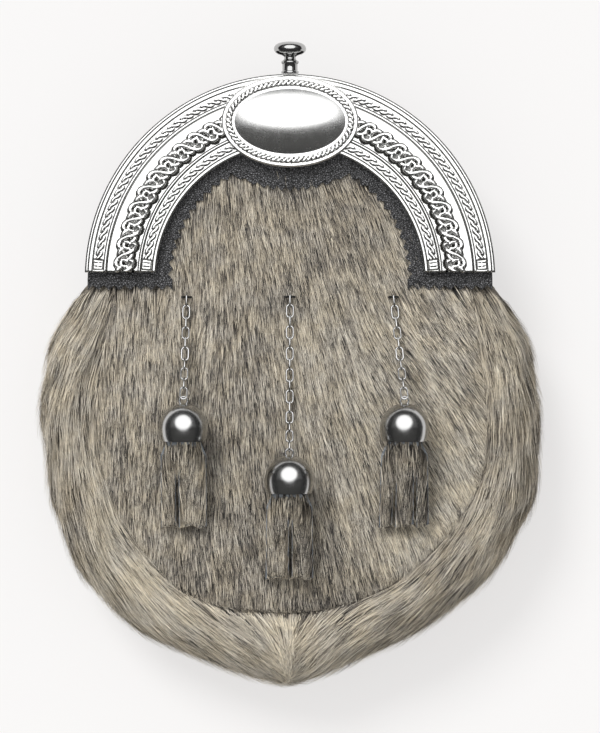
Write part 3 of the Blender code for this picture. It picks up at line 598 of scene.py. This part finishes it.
# Rim fur: lean towards the middle in degrees, by the bearing from the body's middle. Tones by side.
RIM_BEARINGS = (-90, -84, -72, -58, -38, -19, 0, 16, 33)
RIM_LEANS = (0, 25, 50, 50, 38, 20, 2, -12, -24)
RIM_TONES = {-1: (0.74, 0.76, 0.78, 0.80, 0.74, 0.60, 0.62, 0.66, 0.66),
             1: (0.75, 0.70, 0.66, 0.66, 0.68, 0.66, 0.65, 0.65, 0.65)}
BODY_MIDDLE_Y = -20 * MM
SEAM_REACH = 3.0 * MM
TUCK = 0.5 * MM
EDGE_LIFT = 0.9 * MM
RIM_LIFT = 1.1 * MM


def rim_bearing(spots):
    return np.degrees(np.arctan2(spots[:, 1] - BODY_MIDDLE_Y, np.abs(spots[:, 0])))


# Pale and dark patches of the front's fur: middle in millimetres, reach, change of tone
Patch = namedtuple("Patch", "x y reach tone")
FRONT_PATCHES = (
    Patch(60, -60, 26, 0.30),
    Patch(-62, -8, 16, 0.07),
    Patch(0, -80, 24, -0.15),
    Patch(28, 10, 28, 0.10),
    Patch(-22, -30, 18, -0.04),
)


def patchiness(spots):
    tone = np.zeros(len(spots))
    for patch in FRONT_PATCHES:
        away = np.hypot(spots[:, 0] / MM - patch.x, spots[:, 1] / MM - patch.y)
        tone += patch.tone * np.exp(-((away / patch.reach) ** 2))
    return tone


def tuck_under(ribbon, node, clearance):
    """Keeps hair below a node that lies over it, seen from above."""
    points, triangles = merged_mesh(node)
    tree = BVHTree.FromPolygons(points.tolist(), triangles.tolist())
    low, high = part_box(node)
    down = Vector((0, 0, -1))
    flat = ribbon.reshape(-1, 3)
    near = (flat[:, 1] > low.y) & (flat[:, 0] > low.x) & (flat[:, 0] < high.x)
    for k in np.flatnonzero(near):
        x, y, z = flat[k]
        hit = tree.ray_cast((x, y, high.z + MM), down)[0]
        if hit is not None:
            flat[k, 2] = min(z, hit.z - clearance)


FRONT_COAT = Coat(
    length=11.0 * MM, width=HAIR_WIDTH, depth=0.9 * MM, rise=0.5 * MM, spread=0.05, dark=0.37,
    wisps=0.02, vary=0.16, lock=0.08, segments=2, levels=1,
)
FRONT_TONE = 0.64
EDGE_BAND = 4 * MM


def make_front_fur(rng):
    yoke_low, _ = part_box("leather_yoke")

    def keep(centres, normals):
        up = np.maximum(centres[:, 1] - RING_CENTRE.y, 0)
        inside = np.hypot(centres[:, 0], up) < YOKE_ARCH + EDGE_BAND
        free = inside | (centres[:, 1] < yoke_low.y + EDGE_BAND)
        return (normals[:, 2] > 0.5) * free

    spots, ups = scatter("front_pelt", FRONT_STRANDS, rng, keep, FRONT_COAT.levels)
    beside = (ups[:, 2] < 0.85) & (spots[:, 1] < yoke_low.y + EDGE_BAND)
    spots, ups = over_seam(spots, ups, beside, SEAM_REACH, rng)
    heading = front_heading(spots) + 0.10 * wander(spots, 16 * MM, rng)
    tone = FRONT_TONE + 0.07 * wander(spots, 7 * MM, rng) + 0.10 * wander(spots, 20 * MM, rng)
    tone += patchiness(spots)
    far_up = np.maximum(spots[:, 1] - RING_CENTRE.y, 0)
    arch = np.hypot(spots[:, 0], far_up) > YOKE_ARCH - EDGE_BAND
    tab = (spots[:, 1] > yoke_low.y - 3 * MM) & (np.abs(spots[:, 0]) > YOKE_ARCH - EDGE_BAND)
    lift = EDGE_LIFT * (arch | tab)
    ribbon, shade = grow("front_pelt", spots, ups, heading, FRONT_COAT, tone, rng, beside, lift)
    tuck_under(ribbon, "leather_yoke", TUCK)
    skin_piece("front_hide", "front_pelt", 0.5 * MM, SKIN, "front_fur")
    hair_pieces("front_fur", ribbon, shade, "front_fur")


RIM_COAT = Coat(
    length=18.0 * MM, width=HAIR_WIDTH, depth=1.2 * MM, rise=1.0 * MM, spread=0.06, dark=0.24,
    wisps=0.13, vary=0.14, lock=0.08, segments=3, levels=2,
)
RIM_PALER = 0.04
# The roll's bare inner side: how little it faces out, and its top as a share of the roll's height
INNER_FACING = 0.1
INNER_TOP = 0.80
# The roll's underside: its top as such a share, and its share of hairs
UNDERSIDE_TOP = 0.2
UNDERSIDE_HAIRS = 0.35


def make_rim_fur(rng):
    _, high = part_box("fur_rim")
    back_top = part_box("back_panel")[1].z

    def keep(centres, normals):
        outward = np.stack([centres[:, 0], centres[:, 1] - BODY_MIDDLE_Y], axis=1)
        outward /= np.linalg.norm(outward, axis=1, keepdims=True)
        facing = (outward * normals[:, :2]).sum(axis=1)
        inner = (centres[:, 2] < high.z * INNER_TOP) & (centres[:, 2] > back_top * 0.6)
        hollow = (facing < INNER_FACING) & inner
        end = (normals[:, 1] > 0.45) & (centres[:, 1] > high.y - 8 * MM)
        under = centres[:, 2] < UNDERSIDE_TOP * high.z
        return ~(hollow | end) * np.where(under, UNDERSIDE_HAIRS, 1.0)

    spots, ups = scatter("fur_rim", RIM_STRANDS, rng, keep, RIM_COAT.levels)
    inward = (spots[:, :2] - (0, BODY_MIDDLE_Y)) * ups[:, :2]
    beside = (inward.sum(axis=1) < 0) & (ups[:, 2] < 0.9) & (spots[:, 2] > 0.7 * high.z)
    spots, ups = over_seam(spots, ups, beside, SEAM_REACH, rng)
    side = np.where(spots[:, 0] < 0, -1, 1)
    bearing = rim_bearing(spots)
    heading = -side * np.radians(np.interp(bearing, RIM_BEARINGS, RIM_LEANS))
    heading += 0.10 * wander(spots, 18 * MM, rng)
    tone = np.where(
        side < 0,
        np.interp(bearing, RIM_BEARINGS, RIM_TONES[-1]),
        np.interp(bearing, RIM_BEARINGS, RIM_TONES[1]),
    )
    tone = tone + 0.07 * wander(spots, 8 * MM, rng) + 0.10 * wander(spots, 24 * MM, rng)
    tone += RIM_PALER
    ribbon, shade = grow("fur_rim", spots, ups, heading, RIM_COAT, tone, rng, beside, RIM_LIFT)
    tuck_under(ribbon, "leather_yoke", TUCK)
    skin_piece("rim_hide", "fur_rim", 0.9 * MM, SKIN, "rim_fur", 1)
    hair_pieces("rim_fur", ribbon, shade, "rim_fur")


TASSEL_COAT = Coat(
    length=13.0 * MM, width=HAIR_WIDTH, depth=0.4 * MM, rise=0.2 * MM, spread=0.02, dark=0.40,
    wisps=0.0, vary=0.20, lock=0.12, segments=2, levels=0,
)
TASSEL_TONES = {"left": 0.69, "middle": 0.56, "right": 0.55}


def make_tassel_fur(side, rng):
    node = f"tassel_{side}"
    low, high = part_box(node)
    mouth_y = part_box(f"bell_{side}")[0].y

    def keep(centres, normals):
        facing_up = (np.abs(normals[:, 1]) < 0.9) * (normals[:, 2] > 0.3)
        return (centres[:, 1] < mouth_y + 2 * MM) * facing_up

    spots, ups = scatter(node, TASSEL_STRANDS, rng, keep)
    heading = 0.04 * wander(spots, 5 * MM, rng)
    tone = TASSEL_TONES[side] + 0.08 * wander(spots, 3 * MM, rng)
    ribbon, shade = grow(node, spots, ups, heading, TASSEL_COAT, tone, rng)
    ribbon[..., 1] = np.maximum(ribbon[..., 1], low.y - 0.4 * MM)
    skin_piece(f"{node}_hide", node, 0.35 * MM, TASSEL_HIDE, "tassel_fur")
    hair_pieces(f"{node}_fur", ribbon, shade, "tassel_fur")


def ring_frame():
    """Centre and outer radius of the cantle's half ring, from its box."""
    low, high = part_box("cantle")
    half = (high.x - low.x) / 2
    tall = high.y - low.y
    radius = (half**2 + tall**2) / (2 * tall)
    return Vector((0, high.y - radius, 0)), radius


RING_CENTRE, RING_R = ring_frame()
YOKE_STRIP = 5.6 * MM
YOKE_ARCH = RING_R - RING_WIDTH - YOKE_STRIP


def step(value, edge, soft):
    share = np.clip((value - edge) / soft + 0.5, 0, 1)
    return share * share * (3 - 2 * share)


def groove(value, place, width):
    return np.exp(-(((value - place) / width) ** 2))


def alternate(along, places, period):
    """A level that swings between 1 and -1 at those places along a strand, over and over."""
    levels = [1 - 2 * (k % 2) for k in range(len(places) + 1)]
    return np.interp(along % period, [*places, period], levels)


class Weave:
    """Strands over and under each other: the upper one shows, with a dark gap beside it."""

    def __init__(self, along, across, half, gap, outline=1.0):
        self.along = along
        self.across = across
        self.half = half
        self.gap = gap
        self.outline = outline
        self.edge = np.zeros(along.shape, bool)
        self.top = np.full(along.shape, -9.0)
        self.height = np.zeros(along.shape)
        self.dark = np.zeros(along.shape)
        self.reach = np.zeros(along.shape)

    def strand(self, distance, level, reach, size=1.0):
        half = self.half * size
        distance = np.abs(distance)
        body = (distance < half) & (level > self.top)
        crown = np.sqrt(np.clip(1 - (distance / half) ** 2, 0, 1))
        self.height = np.where(body, 0.55 + 0.30 * crown + 0.15 * level, self.height)
        self.dark = np.where(body, 0.0, self.dark)
        self.dark = np.where((distance < half) & ~body & self.edge, 1.0, self.dark)
        self.edge &= ~body
        self.top = np.where(body, level, self.top)
        edge = (distance >= half) & (distance < half + self.gap) & (level - 0.3 > self.top)
        crossing = (self.top > -8) & ~self.edge
        self.dark = np.where(edge, np.where(crossing, 1.0, self.outline), self.dark)
        self.edge |= edge
        self.height = np.where(edge, 0.15, self.height)
        self.top = np.where(edge, level - 0.3, self.top)
        self.reach = np.maximum(self.reach, np.where(np.isfinite(reach), reach, 0))

    def wave(self, swing, period, phase, places):
        angle = 2 * math.pi * self.along / period + phase
        centre = swing * np.sin(angle)
        slope = swing * 2 * math.pi / period * np.cos(angle)
        shifted = self.along + phase / (2 * math.pi) * period
        level = alternate(shifted, places, period)
        self.strand((self.across - centre) / np.sqrt(1 + slope**2), level, np.abs(centre))

    def ring(self, offset, period, radius, turn, size=1.0):
        local = (self.along - offset + period / 2) % period - period / 2
        radial = np.hypot(local, self.across)
        level = 0.9 * np.cos(2 * (np.arctan2(self.across, local) + turn))
        reach = np.sqrt(np.clip(radius**2 - local**2, 0, None))
        self.strand(radial - radius, level, reach, size)

    def result(self):
        """Height share and darkness, with black holes inside the outline of the strands."""
        hole = (self.top < -8) & (np.abs(self.across) < self.reach)
        return self.height, np.maximum(self.dark, hole), self.top > -8, hole


def braid(along, across, pitch):
    weave = Weave(along, across, BRAID_HALF, LANE_GAP, BRAID_OUTLINE)
    places = (0, pitch / 2)
    weave.wave(BRAID_SWING, pitch, 0.0, places)
    weave.wave(BRAID_SWING, pitch, math.pi, places)
    return weave.result()


def knot_band(along, across):
    """Two waving strands, a ring round every crossing, and a smaller ring between crossings."""
    weave = Weave(along, across, KNOT_HALF, GAP_WIDTH, KNOT_OUTLINE)
    share = KNOT_PITCH / 12
    places = (0, 2 * share, 4 * share, 6 * share, 8 * share, 10 * share)
    weave.wave(KNOT_SWING, KNOT_PITCH, 0.0, places)
    weave.wave(KNOT_SWING, KNOT_PITCH, math.pi, places)
    weave.ring(0.0, KNOT_PITCH / 2, KNOT_RING_R, KNOT_RING_TURN)
    cell = KNOT_PITCH / 2
    weave.ring(cell / 2, cell, KNOT_LOBE_R, KNOT_LOBE_TURN, KNOT_LOBE_SIZE)
    return weave.result()


def key_panel(along, across):
    """A small square panel: an engraved frame and broken key strokes inside it."""
    half = PANEL_SIZE / 2
    edge = np.maximum(np.abs(along), np.abs(across))
    frame_line = groove(edge, half * 0.86, 0.17 * MM)
    strokes = groove(np.abs(np.abs(along) - half * 0.32), 0, 0.15 * MM) * (
        np.abs(np.abs(across) - half * 0.33) < half * 0.24
    )
    return frame_line + strokes * (edge < half * 0.8)


def whole_cells(along, pitch):
    """How many cells of that pitch fit along, to the nearest half."""
    return np.round(along.max() / pitch * 2) / 2


def add_lane(height, dark, inset, foot_distance, place, pitch):
    """Lays one braided lane, with a small panel at each foot, into the relief."""
    along = foot_distance(RING_R - place)
    fitted = along.max() / whole_cells(along, pitch)
    woven, gap, strands, hole = braid(along, inset - place, fitted)
    near_foot = along + 0 * inset
    lane = near_foot > PANEL_SIZE + PANEL_LANE_GAP
    height = np.where(lane & strands, BRAID_RISE * woven, height)
    height = np.where(lane & hole, -ENGRAVED_DEPTH, height)
    dark = np.where(lane & (strands | hole), gap, dark)
    marks = key_panel(near_foot - PANEL_SIZE / 2 - PANEL_FOOT_GAP, inset - place)
    marks = np.clip(marks, 0, 1) * (np.abs(inset - place) < PANEL_SIZE / 2 + 0.2 * MM) * ~lane
    return height - ENGRAVED_DEPTH * marks, np.maximum(dark, PANEL_DARK * marks)


def add_knots(height, dark, inset, foot_distance):
    """Lays the band of knots into the relief, with a painted shadow inward of them: that ground is
    sunk a little and painted black.
    """
    along = foot_distance(RING_R - KNOT_INSET)
    stretch = along.max() / (whole_cells(along, KNOT_PITCH) * KNOT_PITCH)
    woven, gap, strands, hole = knot_band(along / stretch, inset - KNOT_INSET)
    height = np.where(strands, KNOT_RISE * woven, height)
    dark = np.where(strands | hole, gap, dark)
    # Painted shadow: ground just inward of the strands is sunk and painted fully black
    shadow = np.zeros(strands.shape, bool)
    for rows in range(1, KNOT_SHADOW_ROWS + 1):
        shadow[rows:] |= strands[:-rows]
    shadow &= ~(strands | hole)
    height = np.where(hole | shadow, -ENGRAVED_DEPTH, height)
    return height, np.where(shadow, 1.0, dark)


def cantle_relief(inset, foot_distance):
    """Height above the plate in metres, and how black it is, over the ring: blackened recesses, and
    the painted shadow beside the knots.
    """
    lines = sum(line.depth * groove(inset, line.inset, line.width) for line in ENGRAVED)
    dark = np.clip(lines, 0, 1)
    height = -ENGRAVED_DEPTH * dark
    for place, pitch in zip(BRAID_INSETS, BRAID_PITCHES):
        height, dark = add_lane(height, dark, inset, foot_distance, place, pitch)
    height, dark = add_knots(height, dark, inset, foot_distance)
    edge = np.minimum(inset, RING_WIDTH - inset)
    edge = np.minimum(edge, foot_distance(RING_R - inset))
    return height - RING_BEVEL * (1 - step(edge, 0.3 * MM, 0.6 * MM)), dark


def make_cantle():
    low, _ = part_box("cantle")
    columns, rows = RING_GRID
    share = np.linspace(0, 1, columns)[None, :]
    inset = np.linspace(0, 1, rows)[:, None] * RING_WIDTH
    radius = RING_R - inset
    foot_lift = low.y - RING_CENTRE.y
    foot = np.arcsin(foot_lift / radius)
    angle = foot + (math.pi - 2 * foot) * share
    from_top = np.abs(angle - math.pi / 2)

    def foot_distance(at_radius):
        return (math.pi / 2 - np.arcsin(foot_lift / at_radius) - from_top) * at_radius

    height, patina_and_painted_shadow = cantle_relief(inset + 0 * share, foot_distance)
    x = radius * np.cos(angle)
    y = RING_CENTRE.y + radius * np.sin(angle)
    top = np.stack([x, y, low.z + PLATE + height], axis=-1)
    under = top[[0, -1]].copy()
    under[..., 2] = low.z
    sheet = np.concatenate([under[:1], top, under[1:]])
    side = np.arange(columns - 1)
    last = (rows + 1) * columns
    back = np.stack([side, side + 1, last + side + 1, last + side], axis=1)
    faces = np.concatenate([grid_faces(rows + 2, columns)[:, ::-1], back])
    piece = new_mesh("cantle_casting", sheet.reshape(-1, 3), faces)
    cap_faces(piece)
    edge = 0 * patina_and_painted_shadow[:1] + 0.2
    # The patina attribute holds blackened recesses and, beside the knots, a painted shadow
    attribute(piece, "patina_and_painted_shadow", np.concatenate([edge, patina_and_painted_shadow, edge]))
    finish_piece(piece, CAST_SILVER, "antiqued_silver", "cantle")


def cap_faces(piece):
    """Fills open ends and points all faces outward."""
    work = bmesh.new()
    work.from_mesh(piece.data)
    bmesh.ops.holes_fill(work, edges=[e for e in work.edges if e.is_boundary])
    bmesh.ops.recalc_face_normals(work, faces=work.faces)
    work.to_mesh(piece.data)
    work.free()
    piece.data.shade_smooth()
    piece.data.set_sharp_from_angle(angle=math.radians(50))


def rope_border(inset, columns):
    """The rope round the oval: a weave of two strands that closes on a whole number of twists."""
    rope_x, rope_y = (half - ROPE_INSET for half in FLANGE_HALF)
    around = np.linspace(0, 2 * math.pi, columns + 1)
    pace = np.hypot(rope_x * np.sin(around), rope_y * np.cos(around))
    length = np.concatenate([[0], np.cumsum(pace[:-1])]) * 2 * math.pi / columns
    twists = round(length[-1] / ROPE_PITCH)
    along = length[:-1][None, :] * twists * ROPE_PITCH / length[-1] + 0 * inset
    across = inset - ROPE_INSET + 0 * along
    weave = Weave(along, across, ROPE_STRAND, LANE_GAP, BRAID_OUTLINE)
    places = (0, ROPE_PITCH / 2)
    weave.wave(ROPE_SWING, ROPE_PITCH, 0.0, places)
    weave.wave(ROPE_SWING, ROPE_PITCH, math.pi, places)
    edges = groove(np.abs(across), ROPE_HALF + 0.2 * MM, 0.13 * MM)
    return (*weave.result(), edges)


def make_flange():
    """The oval plate with its rope border, which sits into the ring's crown."""
    low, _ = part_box("cantle")
    boss_low, boss_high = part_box("oval_boss")
    middle_y = (boss_low.y + boss_high.y) / 2
    columns, rows = FLANGE_GRID
    turn = np.arange(columns)[None, :] / columns
    inset = np.linspace(0, FLANGE_REACH, rows)[:, None]
    x = (FLANGE_HALF[0] - inset) * np.cos(2 * math.pi * turn)
    y = (FLANGE_HALF[1] - inset) * np.sin(2 * math.pi * turn)
    woven, gap, strands, hole, edges = rope_border(inset, columns)
    height = np.where(strands, ROPE_RISE * woven, 0.15 * MM - 0.3 * MM * edges)
    height = np.where(hole, 0.0, height)
    height = height - FLANGE_BEVEL * (1 - step(inset, 0.25 * MM, 0.6 * MM))
    patina_and_painted_shadow = np.where(strands | hole, gap, 0.9 * edges)
    z = low.z + FLANGE_PLATE + height
    top = np.stack([x, middle_y + y, z + 0 * x], axis=-1)
    skirt = top[:1].copy()
    skirt[..., 2] = low.z + 0.1 * MM
    vertices = np.concatenate([skirt, top]).reshape(-1, 3)
    piece = new_mesh("oval_flange", vertices, grid_faces(rows + 1, columns, wrap=True))
    cap_faces(piece)
    attribute(piece, "patina_and_painted_shadow", np.concatenate([0 * patina_and_painted_shadow[:1], patina_and_painted_shadow]))
    finish_piece(piece, CAST_SILVER, "antiqued_silver")


def turned(name, profile, sides, place):
    """A turned piece from (radius, height) pairs that start and end on the axis."""
    ring = np.arange(sides) * 2 * math.pi / sides
    profile = np.array(profile, float)
    profile[:, 0] = np.maximum(profile[:, 0], 1e-6)
    x = profile[:, :1] * np.cos(ring)
    y = profile[:, :1] * np.sin(ring)
    z = profile[:, 1:] + 0 * ring
    points = np.stack([x, y, z, np.ones_like(x)], axis=-1).reshape(-1, 4)
    points = points @ np.array(place).T
    piece = new_mesh(name, points[:, :3], grid_faces(len(profile), sides, wrap=True))
    cap_faces(piece)
    return piece


BOSS_EDGE = 0.14


def make_boss():
    low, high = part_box("oval_boss")
    middle = (low + high) / 2
    angles = np.radians(np.linspace(0, 90, 28))
    rise = high.z - low.z
    profile = [(0, 0), (1.0, 0)]
    profile += [(math.cos(a), BOSS_EDGE + (1 - BOSS_EDGE) * math.sin(a) ** 2) for a in angles]
    place = Matrix.Translation((middle.x, middle.y, low.z)) @ Matrix.Diagonal(
        ((high.x - low.x) / 2, (high.y - low.y) / 2, rise, 1)
    )
    finish_piece(turned("boss_dome", profile, 96, place), POLISHED, "polished_silver", "oval_boss")


FINIAL_POINTS = (
    (0.00, 0.000), (0.53, 0.000), (0.54, 0.015), (0.54, 0.050), (0.53, 0.065), (0.47, 0.080),
    (0.465, 0.19), (0.47, 0.295), (0.53, 0.320), (0.55, 0.350), (0.53, 0.385), (0.43, 0.410),
    (0.37, 0.450), (0.36, 0.500), (0.40, 0.545), (0.54, 0.575), (0.75, 0.605), (0.90, 0.655),
    (0.98, 0.715), (1.00, 0.775), (0.975, 0.84), (0.89, 0.900), (0.74, 0.948), (0.53, 0.980),
    (0.28, 0.996), (0.00, 1.000),
)


def make_finial():
    low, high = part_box("finial")
    radius = (high.x - low.x) / 2
    tall = high.y - low.y
    profile = [(r * radius, h * tall) for r, h in FINIAL_POINTS]
    place = Matrix.Translation(((low.x + high.x) / 2, low.y, (low.z + high.z) / 2))
    place = place @ Matrix.Rotation(-math.pi / 2, 4, "X")
    piece = turned("finial_knob", profile, 64, place)
    finish_piece(piece, FINIAL_SILVER, "antiqued_silver", "finial")


BELL_TILT = math.radians(-3.0)
BELL_SHOULDER = 0.34
BELL_TALL = 14.8 * MM
BELL_WALL = 0.3 * MM
BELL_CROWN = 2 * MM
BELL_LIP = ((0.995, 0.25), (0.98, 0.15), (0.955, 0.06), (0.925, 0))
LOOP_R = 1.6 * MM
LOOP_WIRE = 0.4 * MM


def bell_profile(radius, tall):
    """A round dome that draws in a little to its lip."""
    angles = np.radians(range(88, 0, -8))
    dome = [(math.cos(a), BELL_SHOULDER + (1 - BELL_SHOULDER) * math.sin(a)) for a in angles]
    points = [(0, 1), *dome, (1, BELL_SHOULDER), *BELL_LIP]
    return [(r * radius, h * tall) for r, h in points]


def make_bell(side):
    low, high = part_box(f"bell_{side}")
    radius = (high.x - low.x) / 2
    tilt_y, tilt_z = math.sin(BELL_TILT), math.cos(BELL_TILT)
    mouth = Vector(((low.x + high.x) / 2, low.y + radius * abs(tilt_y), high.z - radius * tilt_z))
    axis = Vector((0, tilt_z, -tilt_y))
    hollow = BELL_TALL - BELL_CROWN
    outer = bell_profile(radius, BELL_TALL)
    inner = bell_profile(radius - BELL_WALL, hollow)[1:]
    place = Matrix.Translation(mouth) @ axis.to_track_quat("Z", "Y").to_matrix().to_4x4()
    piece = turned(f"bell_{side}_dome", outer + inner[::-1] + [(0, hollow)], 72, place)
    finish_piece(piece, BELL_SILVER, "polished_silver", f"bell_{side}")
    crown = mouth + axis * (BELL_TALL + 1.0 * MM)
    across = Vector((1, 0, 0))
    loop = wire_loop(f"bell_{side}_loop", crown, axis, across, LOOP_R, LOOP_R, LOOP_WIRE)
    finish_piece(loop, BELL_SILVER, "polished_silver")


WIRE_SIDES = 12
LOOP_STEPS = 36


def wire_loop(name, centre, along, across, half_long, half_wide, wire):
    """A round wire bent into an oval with straight sides."""
    normal = along.cross(across).normalized()
    sides, steps = WIRE_SIDES, LOOP_STEPS
    points = []
    for k in range(steps):
        angle = 2 * math.pi * k / steps
        straight = (half_long - half_wide) * (1 if math.cos(angle) > 0 else -1)
        if abs(math.cos(angle)) < 1e-9:
            straight = 0
        spot = centre + (straight + half_wide * math.cos(angle)) * along
        spot = spot + half_wide * math.sin(angle) * across
        out = (math.cos(angle) * along + math.sin(angle) * across).normalized()
        for m in range(sides):
            turn = 2 * math.pi * m / sides
            points.append(spot + wire * (math.cos(turn) * out + math.sin(turn) * normal))
    faces = grid_faces(steps + 1, sides, wrap=True) % (steps * sides)
    return new_mesh(name, np.array([tuple(p) for p in points]), faces)


LINK_WIRE = 1.12


def make_links():
    """A round wire loop on each CAD link's own axes, a little thicker than the link's."""
    for node in sorted(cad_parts):
        if "_link_" not in node:
            continue
        points, _ = merged_mesh(node)
        centre = points.mean(axis=0)
        _, _, axes = np.linalg.svd(points - centre, full_matrices=False)
        spread = (points - centre) @ axes.T
        half = [float(v) for v in (spread.max(axis=0) - spread.min(axis=0)) / 2]
        wire = half[2] * LINK_WIRE
        name = node.replace("chain_", "wire_")
        along, across = Vector(axes[0]), Vector(axes[1])
        loop = wire_loop(name, Vector(centre), along, across, half[0] - wire, half[1] - wire, wire)
        finish_piece(loop, LINK_SILVER, "antiqued_silver", node)


def dress_node(node, material):
    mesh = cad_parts[node].data
    if not mesh.materials:
        mesh.materials.append(material)
    for k in range(len(mesh.materials)):
        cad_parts[node].material_slots[k].material = material


def dress_nodes():
    for node in ("leather_yoke", "gusset_left", "gusset_right", "belt_loop_left", "belt_loop_right"):
        dress_node(node, BLACK_LEATHER)
    dress_node("back_panel", BACK_LEATHER)
    for side in ("left", "middle", "right"):
        dress_node(f"chain_eye_{side}", STAPLE)


FLOOR_HALF = 0.9
FLOOR_COLOUR = (0.30, 0.298, 0.295, 1)
FLOOR_GLOW = (1.0, 0.985, 0.98, 1)
FLOOR_GLOW_STRENGTH = 0.625


def make_stage():
    """A sheet of paper that gives off a little light, as a lit sweep does."""
    size = FLOOR_HALF
    corners = [(-size, -size, 0), (size, -size, 0), (size, size, 0), (-size, size, 0)]
    floor = new_mesh("floor", corners, [(0, 1, 2, 3)], smooth=False)
    shader = Shader("floor_paper")
    shader.set(color=FLOOR_COLOUR, roughness=0.9, ior_level=0.1)
    shader.principled.inputs["Emission Color"].default_value = FLOOR_GLOW
    shader.principled.inputs["Emission Strength"].default_value = FLOOR_GLOW_STRENGTH
    floor.data.materials.append(shader.material)


# Lights that metal mirrors. low and high: corners of a panel that faces down, at its height, in metres
Panel = namedtuple("Panel", "name shape low high height radiance colour")
PANELS = (
    Panel("softbox", "ELLIPSE", (-1.15, -0.16), (1.05, 2.34), 1.25, 1.80, (1, 1, 1)),
    Panel("glow", "RECTANGLE", (-2.60, 0.10), (2.40, 3.60), 1.35, 0.09, (1, 1, 1)),
    Panel("room", "RECTANGLE", (-2.60, -2.60), (2.60, -0.20), 1.60, 0.028, (1, 0.985, 0.92)),
)
# Lights that aren't mirrored: direction of travel, angular size in degrees, strength
Sun = namedtuple("Sun", "name direction angle strength")
SUNS = (
    Sun("fill", (0, 0, -1), 150, 1.88),
    Sun("key", (0.44, -0.66, -0.80), 24, 2.06),
)


WORLD_STRENGTH = 0.04


def add_panel(panel):
    lamp = bpy.data.lights.new(panel.name, "AREA")
    lamp.shape = panel.shape
    lamp.color = panel.colour
    lamp.size = panel.high[0] - panel.low[0]
    lamp.size_y = panel.high[1] - panel.low[1]
    share = math.pi / 4 if panel.shape == "ELLIPSE" else 1
    lamp.energy = panel.radiance * math.pi * lamp.size * lamp.size_y * share
    light = bpy.data.objects.new(panel.name, lamp)
    middle = [(a + b) / 2 for a, b in zip(panel.low, panel.high)]
    light.location = (*middle, panel.height)
    light.visible_camera = False
    light.visible_diffuse = False
    bpy.context.scene.collection.objects.link(light)


def add_sun(sun):
    lamp = bpy.data.lights.new(sun.name, "SUN")
    lamp.angle = math.radians(sun.angle)
    lamp.energy = sun.strength
    light = bpy.data.objects.new(sun.name, lamp)
    light.rotation_euler = Vector(sun.direction).to_track_quat("-Z", "Y").to_euler()
    light.visible_glossy = False
    bpy.context.scene.collection.objects.link(light)


def make_lights():
    world = bpy.data.worlds.new("studio")
    bpy.context.scene.world = world
    world.use_nodes = True
    background = world.node_tree.nodes["Background"]
    background.inputs["Color"].default_value = (1, 1, 1, 1)
    background.inputs["Strength"].default_value = WORLD_STRENGTH
    for panel in PANELS:
        add_panel(panel)
    for sun in SUNS:
        add_sun(sun)


def make_camera():
    data = bpy.data.cameras.new("camera")
    data.sensor_width = SENSOR
    data.lens = SENSOR * CAMERA_DISTANCE / FRAME_HEIGHT
    camera = bpy.data.objects.new("camera", data)
    camera.location = CAMERA_AIM + Vector((0, 0, CAMERA_DISTANCE))
    data.clip_end = 20
    bpy.context.scene.collection.objects.link(camera)
    bpy.context.scene.camera = camera
    bpy.context.scene.view_settings.view_transform = "Standard"


def main():
    rng = np.random.default_rng(SEED)
    make_camera()
    make_stage()
    make_lights()
    make_front_fur(rng)
    make_rim_fur(rng)
    for side in ("left", "middle", "right"):
        make_tassel_fur(side, rng)
        make_bell(side)
    make_cantle()
    make_flange()
    make_boss()
    make_finial()
    make_links()
    dress_nodes()
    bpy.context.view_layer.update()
    shown = [o for o in bpy.context.scene.objects if o.type == "MESH" and not o.hide_render]
    for piece in shown:
        piece.data.calc_loop_triangles()


main()
